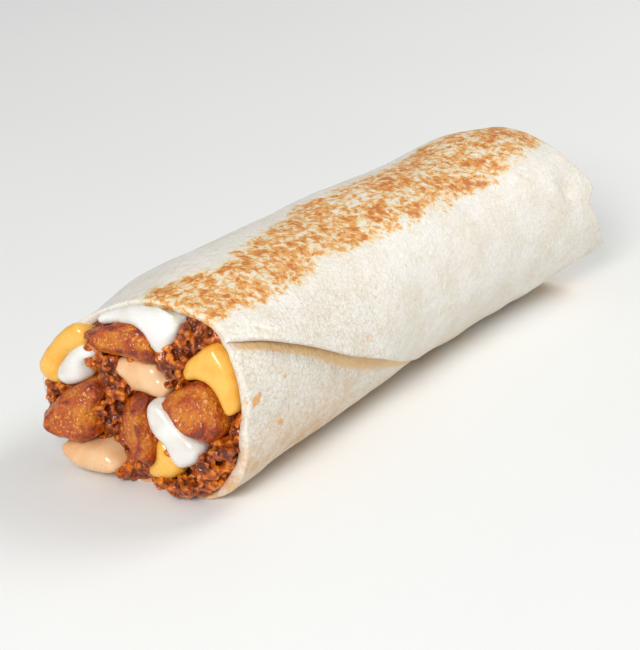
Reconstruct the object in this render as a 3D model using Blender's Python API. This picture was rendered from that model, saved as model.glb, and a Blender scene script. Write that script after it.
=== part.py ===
"""Griddled burrito: a rolled tortilla, open at -X and tucked in at +X.

All sizes below are in millimetres; the meshes are written in metres.
X runs along the roll, Z is up, and the open end looks towards -X.
"""
import math
import random
from dataclasses import dataclass

import bmesh
import bpy
import numpy as np

MM = 0.001
SEED = 7                   # scatter of the beef crumbs

# The rolled sheet
WALL = 1.7                 # thickness of the sheet
RIM_LIP = 0.5              # rounding of the open rim
FLAP = 1.6                 # step where the free edge lies on the layer below
X_NEAR = -75.0             # open rim on the roll's axis
X_END = 69.5               # tucked end on the roll's axis
RIM_SKEW = 0.13            # how far the open rim runs out per mm of width
RIM_LEAN = 0.08            # how far the open rim runs out per mm of height
FLARE = 6.0                # the tucked end's low corner sticks out this far
TUCK = 2.0                 # and its upper shoulder is drawn in this far
COLUMNS = 48               # points round the roll
OUTER_ROWS = 20            # stations along the outside
ROOM_ROWS = (-75.0, -69.0, -58.0, -44.0, -28.0, -8.0, 14.0, 36.0, 56.0)   # stations inside
HOLLOW_END = ROOM_ROWS[-1]

# Cross-sections: station x, crown y, half-width to -Y, half-width to +Y, crown height,
# sole height, height of the widest place, squareness of the quarters
# (top -Y, top +Y, bottom -Y, bottom +Y). The sole is cut flat at height 0.
STATIONS = (
    (-78.0, -3.0, 24.0, 30.0, 42.2, -1.0, 19.0, 2.9, 1.60, 2.8, 2.2),
    (-68.0, -2.5, 24.3, 29.6, 42.6, -1.0, 19.5, 2.8, 1.64, 2.7, 2.3),
    (-56.0, -1.5, 24.7, 29.4, 43.3, -1.0, 20.0, 2.5, 1.92, 2.5, 2.4),
    (-38.0, -0.5, 25.4, 28.2, 42.8, -1.0, 20.5, 2.2, 2.00, 2.45, 2.4),
    (-14.0, 0.0, 25.0, 27.0, 42.3, -1.0, 21.0, 2.1, 2.00, 2.25, 2.4),
    (10.0, 0.0, 24.0, 26.8, 42.3, -1.0, 21.0, 2.1, 2.00, 2.0, 2.4),
    (36.0, 0.0, 24.0, 25.6, 41.4, -0.8, 21.5, 2.1, 2.00, 1.9, 2.3),
    (56.0, -0.5, 24.6, 25.4, 42.3, -0.4, 21.5, 2.1, 2.00, 1.95, 2.2),
    (70.0, -1.0, 24.8, 25.8, 39.9, 1.2, 19.5, 2.1, 2.00, 2.1, 2.2),
)

# Where the sheet's free edge lies: station x, share of the way round from the sole up the -Y side
FLAP_EDGE = (
    (-78.0, 0.378), (-70.0, 0.354), (-59.0, 0.319), (-42.0, 0.277), (-22.0, 0.224),
    (-12.0, 0.188), (2.0, 0.115), (16.0, 0.045), (34.0, -0.005), (72.0, -0.040),
)

# Tucked end: inset of each loop and how far it stands back from the end
END_LIP = ((0.5, -0.5), (1.4, -0.7), (2.3, 0.3), (3.0, 2.2))
END_FACE = ((0.78, 3.2), (0.52, 3.0), (0.26, 2.4))
FOLD_RISE = 1.3            # the last fold of the tucked end stands out this far

# Filling
GAP = 0.35                 # clear space between neighbours
CUT = 0.42                 # clear space that the beef leaves round the other fillings
OVERHANG = 1.3             # further out than this the filling may hang over the rim
NECK = 0.6                 # this far out the filling is still inside the rim
CRUMB_STEP = 3.6           # spacing of the beef crumbs at the open end
CRUMB_SIZE = (1.6, 2.4)    # smallest and largest crumb radius
CRUMB_OUT = 1.6            # crumbs stand out of the rim by up to this


@dataclass(frozen=True)
class Filling:
    """One strand or chunk of filling, drawn where it shows at the open end."""

    name: str
    outline: tuple          # (y, z) points round the piece at the rim
    front: float            # how far it stands out of the rim
    back: float             # station where it ends inside
    chunk: bool = False     # crisp chunk instead of a soft strand
    drift: tuple = (0.0, 0.0)   # how far its nose leans, in y and z
    slant: tuple = (0.0, 0.0)   # slope of its nose's face over y and z


FILLINGS = (
    Filling("potato_1", ((10.6, 29.3), (12.6, 30.4), (13.7, 33.2), (10.6, 35.0), (7.3, 36.6),
            (2.8, 37.1), (1.8, 36.4), (-0.5, 35.8), (-1.9, 32.8), (-4.2, 30.5), (-3.0, 29.3)),
            4.8, -56.0, True, (1.2, 1.5), (-0.1, 0.25)),
    Filling("potato_2", ((21.5, 8.9), (22.9, 10.3), (22.9, 13.4), (19.0, 19.2), (15.7, 20.9),
            (12.4, 21.8), (10.6, 21.0), (9.9, 19.0), (10.4, 17.4), (11.2, 15.2), (10.5, 11.6),
            (11.0, 9.5), (13.0, 8.3), (18.6, 8.1)), 7.4, -58.0, True, (0.2, 0.0), (-0.25, 0.2)),
    Filling("potato_3", ((3.5, 9.4), (4.3, 11.3), (4.8, 18.7), (3.1, 20.7), (1.2, 21.6),
            (-1.1, 21.4), (-1.9, 20.8), (-1.6, 19.5), (-3.9, 12.3), (-3.8, 6.5), (-2.3, 5.9)),
            5.0, -55.0, True, (0.0, -0.4), (0.25, 0.05)),
    Filling("potato_4", ((-14.3, 15.8), (-11.4, 17.4), (-5.8, 21.9), (-7.1, 23.7), (-11.6, 26.9),
            (-13.8, 27.8), (-15.7, 27.4), (-17.8, 25.8), (-19.8, 22.4), (-20.3, 20.3),
            (-20.4, 17.8), (-19.8, 16.2), (-18.6, 15.4), (-16.5, 15.2)), 5.5, -54.0, True,
            (0.0, 0.2), (-0.1, 0.25)),
    Filling("sour_cream_1", ((-2.3, 33.2), (-0.9, 36.4), (1.5, 37.0), (2.4, 37.7), (7.2, 37.2),
            (11.2, 35.6), (12.2, 36.8), (11.2, 38.6), (4.6, 41.6), (-0.9, 43.0), (-5.6, 42.9),
            (-9.0, 39.9), (-5.1, 32.6), (-3.8, 31.9)), 2.6, 48.0),
    Filling("sour_cream_2", ((22.2, 21.9), (20.3, 25.2), (16.5, 29.3), (13.0, 29.3), (13.0, 28.6),
            (16.2, 25.7), (16.4, 23.9), (15.7, 22.2), (20.0, 20.0)), 3.0, 46.0),
    Filling("sour_cream_3", ((-6.9, 12.3), (-3.8, 14.6), (-2.2, 19.5), (-2.7, 21.1), (-4.5, 21.5),
            (-7.0, 20.0), (-10.0, 16.9), (-15.2, 14.1), (-15.6, 12.2), (-14.7, 9.9), (-12.4, 8.1),
            (-10.3, 7.6)), 4.0, 44.0),
    Filling("cheese_sauce_1", ((25.2, 19.8), (27.3, 21.4), (26.8, 24.4), (22.8, 30.4),
            (19.2, 33.8), (17.0, 34.5), (15.1, 32.4), (14.9, 30.4), (16.8, 29.8), (18.2, 28.3),
            (20.4, 27.1), (22.3, 24.7), (22.8, 21.9), (21.6, 20.3), (23.2, 19.3)), 2.6, 50.0),
    Filling("cheese_sauce_2", ((-20.7, 22.2), (-18.6, 26.1), (-16.3, 28.1), (-13.9, 28.6),
            (-10.9, 27.3), (-9.8, 28.4), (-10.4, 31.4), (-16.4, 37.3), (-18.8, 35.9),
            (-20.9, 33.8), (-22.1, 31.9), (-23.2, 28.4), (-23.7, 23.0), (-21.4, 21.3)), 2.4,
            50.0),
    Filling("cheese_sauce_3", ((-2.1, 4.7), (-2.5, 5.4), (-4.4, 6.3), (-4.4, 12.5), (-4.9, 12.9),
            (-6.5, 11.8), (-10.2, 6.6), (-9.3, 4.7), (-6.3, 3.6), (-2.9, 3.3)), 2.8, 42.0),
    Filling("spicy_sauce_1", ((3.8, 22.7), (8.1, 25.9), (6.5, 28.4), (-2.4, 28.7), (-3.4, 27.3),
            (-3.5, 25.5), (-6.4, 26.0), (-7.4, 25.1), (-5.1, 22.0), (-2.2, 21.4), (-1.2, 22.0),
            (1.3, 22.1), (3.6, 21.2)), 1.8, 46.0),
    Filling("spicy_sauce_2", ((19.0, 4.9), (19.0, 6.2), (18.0, 7.1), (12.2, 7.4), (9.7, 8.2),
            (7.3, 7.9), (5.0, 6.5), (3.8, 5.0), (4.3, 3.4), (7.1, 2.3), (14.0, 1.9)), 6.0, 42.0),
)

# Material of each kind of piece: base colour and roughness
LOOKS = {
    "tortilla": ((0.80, 0.71, 0.57), 0.62),
    "beef": ((0.20, 0.065, 0.022), 0.45),
    "potato": ((0.58, 0.20, 0.045), 0.50),
    "sour_cream": ((0.86, 0.86, 0.83), 0.25),
    "cheese_sauce": ((0.90, 0.53, 0.12), 0.28),
    "spicy_sauce": ((0.87, 0.58, 0.35), 0.28),
}


def lookup(x, table):
    """Smooth values of a station table at station x."""
    rows = np.array(table, float)
    xs, values = rows[:, 0], rows[:, 1:]
    slopes = np.gradient(values, xs, axis=0)
    i = int(np.clip(np.searchsorted(xs, x) - 1, 0, len(xs) - 2))
    step = xs[i + 1] - xs[i]
    u = float(np.clip((x - xs[i]) / step, 0.0, 1.0))
    start = 2 * u**3 - 3 * u**2 + 1
    end = 3 * u**2 - 2 * u**3
    bend = step * ((u**3 - 2 * u**2 + u) * slopes[i] + (u**3 - u**2) * slopes[i + 1])
    return start * values[i] + end * values[i + 1] + bend


def ramp(start, end, x):
    """Smooth 0 to 1 between two stations."""
    u = np.clip((x - start) / (end - start), 0.0, 1.0)
    return u * u * (3 - 2 * u)


def centre(x):
    """Middle of the cross-section at station x."""
    values = lookup(x, STATIONS)
    return np.array([values[0], values[5]])


def section(x, count=480):
    """Outline of the under layer at station x, from the sole up the -Y side and round."""
    crown, near, far, top, sole, wide, *power = lookup(x, STATIONS)
    angle = np.linspace(0, 2 * math.pi, count, endpoint=False) - math.pi / 2
    side, up = np.cos(angle), np.sin(angle)
    upper = np.where(side >= 0, power[0], power[1])
    lower = np.where(side >= 0, power[2], power[3])
    square = 2 / np.where(up >= 0, upper, lower)
    width = np.where(side >= 0, near, far)
    height = np.where(up >= 0, top - wide, wide - sole)
    y = crown - width * np.sign(side) * np.abs(side) ** square
    z = wide + height * np.sign(up) * np.abs(up) ** square
    return np.stack([y, z], axis=1)


def along(curve, shares):
    """Points at the given shares of a closed curve's length."""
    ring = np.vstack([curve, curve[:1]])
    steps = np.linalg.norm(np.diff(ring, axis=0), axis=1)
    run = np.concatenate([[0.0], np.cumsum(steps)])
    at = np.mod(shares, 1.0) * run[-1]
    return np.stack([np.interp(at, run, ring[:, k]) for k in (0, 1)], axis=1)


def outward(loop):
    """Outward normals of a closed loop that runs up the -Y side first."""
    run = np.roll(loop, -1, axis=0) - np.roll(loop, 1, axis=0)
    normal = np.stack([-run[:, 1], run[:, 0]], axis=1)
    return normal / np.maximum(np.linalg.norm(normal, axis=1, keepdims=True), 1e-9)


def rim_shift(x, loop):
    """How far the open end's lean moves each point of a loop along X."""
    lean = RIM_SKEW * loop[:, 0] + RIM_LEAN * (20.0 - loop[:, 1])
    return -ramp(-30.0, X_NEAR, x) * lean


def flare(shares):
    """How far the tucked end's rim runs out at each share of the way round."""
    corner = (np.mod(shares - 0.185 + 0.5, 1.0) - 0.5) / 0.10
    tuck = (np.mod(shares - 0.32 + 0.5, 1.0) - 0.5) / 0.06
    return FLARE * np.exp(-corner**2) - TUCK * np.exp(-tuck**2)


def in_space(x, loop, shift=0.0, floor=0.0):
    """Points of a cross loop in space, kept above a floor height."""
    xs = x + rim_shift(x, loop) + shift
    return np.column_stack([xs, loop[:, 0], np.maximum(loop[:, 1], floor)])


def wrap_loop(x, inset):
    """Loop at a station that starts and ends at the sheet's free edge.

    Inset 0 is the outside, where the sheet spirals up to the free edge. Inside, all loops
    start on the line where the free edge meets the open rim.
    """
    edge = float(lookup(X_NEAR if inset else x, FLAP_EDGE)[0])
    turn = np.arange(COLUMNS) / COLUMNS
    turn[0] = 0.008
    turn = np.append(turn, 1.0)
    shares = edge + turn
    curve = section(x)
    base = along(curve, shares)
    normal = along(outward(curve), shares)
    normal /= np.linalg.norm(normal, axis=1, keepdims=True)
    rise = FLAP * (1 - turn) if inset == 0 else np.zeros(len(turn))
    return base + normal * (rise - inset)[:, None], shares


def outer_rows():
    """Loops of the outside, from the open rim to the tucked end."""
    rows = []
    for k in range(OUTER_ROWS):
        x = X_NEAR + (X_END - X_NEAR) * k / (OUTER_ROWS - 1)
        loop, shares = wrap_loop(x, 0)
        rows.append(in_space(x, loop, ramp(40.0, X_END, x) * flare(shares)))
    return rows


def fold_height(loop):
    """Relief of the last fold across the tucked end."""
    across = (loop[:, 0] + 4.0) * 0.80 + (loop[:, 1] - 20.0) * 0.60
    return FOLD_RISE * ramp(-1.5, 1.5, across)


def end_rows():
    """Loops of the tucked end: a lip, then a sunk face with its last fold."""
    loop, shares = wrap_loop(X_END, 0)
    middle = centre(X_END)
    out = flare(shares)
    reach = np.linalg.norm(loop - middle, axis=1, keepdims=True)
    rows = []
    for inset, back in END_LIP:
        ring = middle + (loop - middle) * (1 - inset / reach)
        rows.append(in_space(X_END, ring, out - back, 0.25 * inset))
    inner = middle + (loop - middle) * (1 - END_LIP[-1][0] / reach)
    for scale, back in END_FACE:
        ring = middle + (inner - middle) * scale
        rows.append(in_space(X_END, ring, out * scale**2 * 0.5 - back + fold_height(ring)))
    pole = np.array([X_END - END_FACE[-1][1] + 0.5 * FOLD_RISE, middle[0], middle[1]])
    return rows, pole


def inner_rows():
    """Loops of the hollow, from its closed end to the open rim, with the rim's lip."""
    rows = []
    for scale, x in ((0.45, HOLLOW_END + 2.2), (0.85, HOLLOW_END + 1.2)):
        loop, _ = wrap_loop(x, WALL)
        middle = centre(x)
        rows.append(in_space(x, middle + (loop - middle) * scale, 0.0, WALL))
    for x in reversed(ROOM_ROWS):
        loop, _ = wrap_loop(x, WALL)
        rows.append(in_space(x, loop, 0.0, WALL))
    inside, _ = wrap_loop(X_NEAR, WALL)
    outside, _ = wrap_loop(X_NEAR, 0)
    for share in (0.25, 0.75):
        ring = inside + (outside - inside) * share
        rows.append(in_space(X_NEAR, ring, -RIM_LIP, WALL * (1 - share)))
    pole = np.array([HOLLOW_END + 2.6, *centre(HOLLOW_END)])
    return rows, pole


def make_object(name, points, faces):
    """Mesh object in metres with outward faces."""
    mesh = bpy.data.meshes.new(name)
    mesh.from_pydata([tuple(p) for p in np.asarray(points) * MM], [], faces)
    shape = bmesh.new()
    shape.from_mesh(mesh)
    bmesh.ops.remove_doubles(shape, verts=shape.verts, dist=0.00002)
    bmesh.ops.dissolve_degenerate(shape, edges=shape.edges, dist=0.00001)
    bmesh.ops.recalc_face_normals(shape, faces=shape.faces)
    shape.to_mesh(mesh)
    shape.free()
    mesh.validate()
    item = bpy.data.objects.new(name, mesh)
    bpy.context.scene.collection.objects.link(item)
    return item


def skin(rows, poles, ringed=False):
    """Points and faces of a stack of equal loops closed by poles or by itself."""
    count = len(rows[0])
    points = [p for row in rows for p in row]
    faces = []
    last = len(rows) if ringed else len(rows) - 1
    for i in range(last):
        a, b = i * count, ((i + 1) % len(rows)) * count
        for j in range(count):
            k = (j + 1) % count
            faces.append((a + j, a + k, b + k, b + j))
    for row, pole in poles:
        tip = len(points)
        points.append(pole)
        start = row * count
        faces += [(start + j, start + (j + 1) % count, tip) for j in range(count)]
    return points, faces


def make_tortilla():
    """The whole sheet as one closed solid."""
    outside = outer_rows()
    tucked, end_pole = end_rows()
    inside, inner_pole = inner_rows()
    outer = outside + tucked
    shell_points, shell_faces = skin(outer, [(len(outer) - 1, end_pole)])
    hollow_points, hollow_faces = skin(inside, [(0, inner_pole)])
    base = len(shell_points)
    faces = shell_faces + [tuple(base + i for i in face) for face in hollow_faces]
    count = len(outside[0])
    last = base + (len(inside) - 1) * count
    for j in range(count):
        k = (j + 1) % count
        faces.append((j, k, last + k, last + j))
    return make_object("tortilla", shell_points + hollow_points, faces)


def hull_radius(x, inset):
    """Polar outline of the filling's room at a station: angles and radii."""
    curve = section(x)
    loop = curve - outward(curve) * inset
    loop[:, 1] = np.maximum(loop[:, 1], inset)
    rel = loop - centre(x)
    angle = np.arctan2(rel[:, 1], rel[:, 0])
    order = np.argsort(angle)
    return angle[order], np.linalg.norm(rel, axis=1)[order]


def carry(points, x, inset):
    """Carry rim points to station x, so that they follow the wall of the roll."""
    start = max(x, X_NEAR)
    rel = points - centre(X_NEAR)
    angle = np.arctan2(rel[:, 1], rel[:, 0])
    reach = np.linalg.norm(rel, axis=1)
    room_at_rim = np.interp(angle, *hull_radius(X_NEAR, inset), period=2 * math.pi)
    if x > X_NEAR - OVERHANG:
        reach = np.minimum(reach, room_at_rim)
    room = np.interp(angle, *hull_radius(start, inset), period=2 * math.pi)
    reach = reach * room / room_at_rim
    return centre(start) + np.column_stack([np.cos(angle), np.sin(angle)]) * reach[:, None]


def grown(outline, by):
    """Outline moved outward by a distance."""
    loop = np.array(outline, float)
    run = np.roll(loop, -1, axis=0) - loop
    if np.sum(run[:, 0] * (loop[:, 1] + run[:, 1] / 2)) < 0:
        loop = loop[::-1]
    return loop + outward(loop) * by


def chunk_profile(item):
    """Station, share of the full width and share of the lean along a crisp chunk."""
    tip = X_NEAR - item.front
    shoulder = min(tip + 4.4, X_NEAR - 1.6)
    return ((tip, 0.62, 1.0), (tip + 2.4, 0.95, 0.5), (shoulder, 1.0, 0.2),
            (X_NEAR - NECK, 1.0, 0.0), (item.back - 7.0, 1.0, 0.0),
            (item.back - 2.0, 0.85, 0.0), (item.back, 0.5, 0.0))


def strand_profile(item):
    """Station, inset and share of the lean along a soft strand."""
    nose = ((X_NEAR - item.front, 0.75, 1.0), (X_NEAR - item.front * 0.86, 0.35, 0.86),
            (X_NEAR - item.front * 0.5, 0.1, 0.5), (X_NEAR - NECK, 0.0, 0.0))
    run = [(x, 0.0, 0.0) for x in ROOM_ROWS[1:] if x < item.back - 6.0]
    return (*nose, *run, (item.back - 1.0, 0.2, 0.0), (item.back, 0.6, 0.0))


def filling_rows(item, by):
    """Loops of one filling piece, grown by a distance on all sides."""
    room = WALL + GAP - by
    rows = []
    for x, size, lean in (chunk_profile(item) if item.chunk else strand_profile(item)):
        if item.chunk:
            loop = grown(item.outline, by)
            middle = loop.mean(axis=0)
            loop = middle + (loop - middle) * size
        else:
            loop = grown(item.outline, by - size)
        end = np.clip((X_NEAR - x) / item.front, 0.0, 1.0) if x < X_NEAR else -1.0
        ring = carry(loop, x - by * end, room) + np.array(item.drift) * lean
        cut = (ring - ring.mean(axis=0)) @ np.array(item.slant) * lean
        rows.append(in_space(x - by * end, ring, cut))
    return rows


def make_filling(item, by=0.0):
    """Solid of one filling piece."""
    rows = filling_rows(item, by)
    points, faces = skin(rows, [])
    count = len(rows[0])
    faces.append(tuple(range(count)))
    faces.append(tuple(range((len(rows) - 1) * count, len(rows) * count)))
    return make_object(item.name, points, faces)


def make_core():
    """The packed mass of beef that fills the roll."""
    rows = []
    for x in ROOM_ROWS:
        loop, _ = wrap_loop(x, WALL + GAP)
        rows.append(in_space(x, loop, 1.0 if x == X_NEAR else 0.0, WALL + GAP))
    ends = [(0, rows[0].mean(axis=0)), (len(rows) - 1, rows[-1].mean(axis=0))]
    return make_object("beef", *skin(rows, ends))


def distance_to(outline, point):
    """Signed distance from a point to a closed outline, negative inside."""
    a = np.array(outline, float)
    b = np.roll(a, -1, axis=0)
    run = b - a
    t = np.clip(((point - a) * run).sum(axis=1) / (run**2).sum(axis=1), 0, 1)
    gap = np.linalg.norm(a + run * t[:, None] - point, axis=1).min()
    cross = (a[:, 1] > point[1]) != (b[:, 1] > point[1])
    hit = a[:, 0] + (point[1] - a[:, 1]) / np.where(cross, run[:, 1], 1) * run[:, 0]
    inside = np.count_nonzero(cross & (hit > point[0])) % 2 == 1
    return -gap if inside else gap


def crumb_places():
    """Where crumbs of beef show at the open end: y, z and radius."""
    rng = random.Random(SEED)
    curve = section(X_NEAR)
    room = curve - outward(curve) * (WALL + GAP)
    places = []
    row = 0
    z = 2.0
    while z < 44.0:
        y = -27.0 + (row % 2) * CRUMB_STEP / 2
        while y < 28.0:
            at = np.array([y + rng.uniform(-0.5, 0.5), z + rng.uniform(-0.5, 0.5)])
            radius = rng.uniform(*CRUMB_SIZE)
            clear = min(distance_to(item.outline, at) for item in FILLINGS)
            if distance_to(room, at) < -radius - 0.05 and clear > 0.45 * radius:
                places.append((at[0], at[1], radius))
            y += CRUMB_STEP
        z += CRUMB_STEP * 0.87
        row += 1
    return places


def make_crumbs():
    """Crumbs of beef as loose lumps, to be joined to the core."""
    rng = random.Random(SEED + 4)
    crumbs = []
    for y, z, radius in crumb_places():
        lump = bmesh.new()
        bmesh.ops.create_icosphere(lump, subdivisions=2, radius=radius)
        squash = [rng.uniform(0.85, 1.1) for _ in range(3)]
        for vert in lump.verts:
            wobble = rng.uniform(0.88, 1.06)
            vert.co = [c * s * wobble for c, s in zip(vert.co, squash)]
        points = np.array([tuple(vert.co) for vert in lump.verts])
        faces = [tuple(v.index for v in face.verts) for face in lump.faces]
        lump.free()
        lean = float(rim_shift(X_NEAR, np.array([[y, z]]))[0])
        out = rng.uniform(-0.6, CRUMB_OUT)
        crumbs.append(make_object("crumb", points + (X_NEAR + lean - out + 1.0, y, z), faces))
    return crumbs


def gather(name, items):
    """Put objects in a collection of their own."""
    group = bpy.data.collections.new(name)
    bpy.context.scene.collection.children.link(group)
    for item in items:
        bpy.context.scene.collection.objects.unlink(item)
        group.objects.link(item)
    return group


def flatten(item):
    """Cut an object's faces into triangles, which are flat and so cut cleanly."""
    shape = bmesh.new()
    shape.from_mesh(item.data)
    bmesh.ops.triangulate(shape, faces=shape.faces)
    shape.to_mesh(item.data)
    shape.free()
    return item


def apply_boolean(item, operation, group):
    """Join or cut a solid with a whole collection, then drop the collection."""
    step = item.modifiers.new(operation.lower(), "BOOLEAN")
    step.operation = operation
    step.operand_type = "COLLECTION"
    step.collection = group
    step.solver = "MANIFOLD"
    bpy.context.view_layer.update()
    state = item.evaluated_get(bpy.context.evaluated_depsgraph_get())
    mesh = bpy.data.meshes.new_from_object(state)
    item.modifiers.clear()
    item.data = mesh
    for tool in list(group.objects):
        bpy.data.objects.remove(tool)
    bpy.data.collections.remove(group)


def keep_largest(item):
    """Drop loose scraps, so that one closed body is left."""
    shape = bmesh.new()
    shape.from_mesh(item.data)
    seen, parts = set(), []
    for start in shape.faces:
        if start in seen:
            continue
        part, todo = [], [start]
        seen.add(start)
        while todo:
            face = todo.pop()
            part.append(face)
            for other in {near for edge in face.edges for near in edge.link_faces} - seen:
                seen.add(other)
                todo.append(other)
        parts.append(part)
    parts.sort(key=len, reverse=True)
    for part in parts[1:]:
        bmesh.ops.delete(shape, geom=part, context="FACES")
    bmesh.ops.recalc_face_normals(shape, faces=shape.faces)
    shape.to_mesh(item.data)
    shape.free()


def make_beef():
    """One solid of beef: core and crumbs, with room for the other fillings."""
    beef = flatten(make_core())
    apply_boolean(beef, "UNION", gather("crumbs", make_crumbs()))
    cutters = [flatten(make_filling(item, CUT)) for item in FILLINGS]
    apply_boolean(beef, "DIFFERENCE", gather("cutters", cutters))
    keep_largest(beef)
    return beef


def paint(item):
    """Give a solid its own material."""
    kind = item.name.rstrip("_0123456789")
    colour, roughness = LOOKS[kind]
    material = bpy.data.materials.new(item.name)
    material.use_nodes = True
    shader = material.node_tree.nodes["Principled BSDF"]
    shader.inputs["Base Color"].default_value = (*colour, 1.0)
    shader.inputs["Roughness"].default_value = roughness
    item.data.materials.clear()
    item.data.materials.append(material)


def settle(items):
    """Move all solids so that their box stands centred on the origin."""
    points = np.vstack([[tuple(v.co) for v in item.data.vertices] for item in items])
    low, high = points.min(axis=0), points.max(axis=0)
    shift = np.array([-(low[0] + high[0]) / 2, -(low[1] + high[1]) / 2, -low[2]])
    for item in items:
        for vert in item.data.vertices:
            vert.co = np.array(vert.co) + shift
    print("settled by", [round(float(s) / MM, 3) for s in shift], "mm")


def main():
    """Build every piece of the wrap."""
    for item in list(bpy.data.objects):
        bpy.data.objects.remove(item)
    tortilla = make_tortilla()
    beef = make_beef()
    items = [tortilla, beef] + [make_filling(item) for item in FILLINGS]
    settle(items)
    for item in items:
        paint(item)
        smooth = not item.name.startswith(("beef", "potato"))
        for face in item.data.polygons:
            face.use_smooth = smooth


main()
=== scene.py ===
"""Looks of the griddled burrito: its sheet, its filling, the light and the camera.

Sizes are in millimetres in the roll's own frame: X runs along the roll from the open end,
Z is up. Meshes are written in metres in the part's frame.
"""
from __future__ import annotations

import logging
import math
from dataclasses import dataclass, field
from enum import Enum

import bmesh
import bpy
import numpy as np
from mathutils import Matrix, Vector

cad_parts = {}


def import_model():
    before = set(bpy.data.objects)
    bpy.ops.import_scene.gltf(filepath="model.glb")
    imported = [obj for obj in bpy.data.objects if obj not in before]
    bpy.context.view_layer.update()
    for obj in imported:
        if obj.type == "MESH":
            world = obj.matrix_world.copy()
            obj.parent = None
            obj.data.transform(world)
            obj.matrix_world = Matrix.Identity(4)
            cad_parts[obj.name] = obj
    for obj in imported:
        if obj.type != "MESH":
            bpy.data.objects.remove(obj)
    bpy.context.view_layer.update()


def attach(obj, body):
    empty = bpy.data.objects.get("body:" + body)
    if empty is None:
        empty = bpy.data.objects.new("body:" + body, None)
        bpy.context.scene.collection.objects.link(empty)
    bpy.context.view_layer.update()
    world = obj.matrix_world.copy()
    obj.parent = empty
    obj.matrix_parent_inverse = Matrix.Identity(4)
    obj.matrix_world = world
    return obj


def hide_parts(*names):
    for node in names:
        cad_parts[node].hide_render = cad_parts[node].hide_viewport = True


LOG = logging.getLogger("burrito")

MM = 0.001
ROLL_TO_PART = np.array([5.632, -0.838, 0.0])

Points = np.ndarray
Faces = list[tuple[int, ...]]
Colour = tuple[float, float, float]


class Taste(Enum):
    """What a piece of filling is."""

    POTATO = "potato"
    SOUR_CREAM = "sour_cream"
    CHEESE = "cheese_sauce"
    SPICY = "spicy_sauce"


def paint(red: int, green: int, blue: int) -> Colour:
    """Linear colour of a screen colour.

    Args:
        red: 0 to 255.
        green: 0 to 255.
        blue: 0 to 255.

    Returns:
        The three linear parts.
    """
    parts = [v / 255 for v in (red, green, blue)]
    return tuple(v / 12.92 if v <= 0.04045 else ((v + 0.055) / 1.055) ** 2.4 for v in parts)


def ramp(start: float, end: float, value: float | Points) -> float | Points:
    """Smooth 0 to 1 as a value goes from start to end."""
    u = np.clip((np.asarray(value, float) - start) / (end - start), 0.0, 1.0)
    return u * u * (3 - 2 * u)


def bell(value: float | Points, middle: float, width: float) -> float | Points:
    """A bump of height 1 round a middle value."""
    return np.exp(-(((np.asarray(value, float) - middle) / width) ** 2))


class Unevenness:
    """A smooth random field in space, the same on each run."""

    def __init__(self, seed: int) -> None:
        """Draw the field's random table.

        Args:
            seed: Picks the field.
        """
        self.table = np.random.default_rng(seed).random((24, 24, 24)) * 2 - 1

    def at(self, points: Points, size: float) -> Points:
        """Values of the field.

        Args:
            points: Places in mm, one row each.
            size: Length of the field's bumps in mm.

        Returns:
            A value from -1 to 1 for each place.
        """
        grid = np.asarray(points, float) / size
        cell = np.floor(grid).astype(int)
        part = grid - cell
        part = part * part * part * (part * (part * 6 - 15) + 10)
        total = np.zeros(len(grid))
        for corner in range(8):
            step = np.array([corner & 1, corner >> 1 & 1, corner >> 2 & 1])
            share = np.prod(np.where(step, part, 1 - part), axis=1)
            i, j, k = np.mod(cell + step, 24).T
            total += share * self.table[i, j, k]
        return total

    def layered(self, points: Points, size: float, layers: int = 3) -> Points:
        """Field with finer and finer bumps on top of each other.

        Args:
            points: Places in mm, one row each.
            size: Length of the largest bumps in mm.
            layers: How many sizes of bumps, each half of the last.

        Returns:
            A value for each place.
        """
        total = np.zeros(len(points))
        for n in range(layers):
            total += self.at(points + 7.3 * n, size / 2**n) / 2**n
        return total


# Meshes


def put_object(name: str, points: Points, faces: Faces, marks: dict[str, Points] | None = None
               ) -> bpy.types.Object:
    """Mesh object in the part's frame.

    Args:
        name: The object's name.
        points: Places in mm in the roll's frame.
        faces: Corner numbers of each face.
        marks: Values for each point, for the material to read.

    Returns:
        The new object, in the scene.
    """
    mesh = bpy.data.meshes.new(name)
    placed = (np.asarray(points, float) + ROLL_TO_PART) * MM
    mesh.from_pydata([tuple(p) for p in placed], [], faces)
    for mark, values in (marks or {}).items():
        layer = mesh.attributes.new(mark, "FLOAT", "POINT")
        layer.data.foreach_set("value", np.asarray(values, np.float32))
    mesh.validate()
    shape = bmesh.new()
    shape.from_mesh(mesh)
    bmesh.ops.recalc_face_normals(shape, faces=shape.faces)
    shape.to_mesh(mesh)
    shape.free()
    mesh.polygons.foreach_set("use_smooth", np.full(len(mesh.polygons), True))
    item = bpy.data.objects.new(name, mesh)
    bpy.context.scene.collection.objects.link(item)
    return item


def loft(rows: list[Points], first: Points | None = None, last: Points | None = None
         ) -> tuple[Points, Faces]:
    """Skin over a stack of equal loops, closed by a point at either end.

    Args:
        rows: Loops with the same number of points.
        first: Point that closes the first loop, if any.
        last: Point that closes the last loop, if any.

    Returns:
        The points and the faces.
    """
    count = len(rows[0])
    points = list(np.concatenate(rows))
    faces: Faces = []
    for i in range(len(rows) - 1):
        a, b = i * count, (i + 1) * count
        faces += [(a + j, a + (j + 1) % count, b + (j + 1) % count, b + j) for j in range(count)]
    for tip, row in ((first, 0), (last, len(rows) - 1)):
        if tip is None:
            continue
        points.append(np.asarray(tip, float))
        start = row * count
        end = len(points) - 1
        faces += [(start + j, start + (j + 1) % count, end) for j in range(count)]
    return np.array(points), faces


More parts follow.
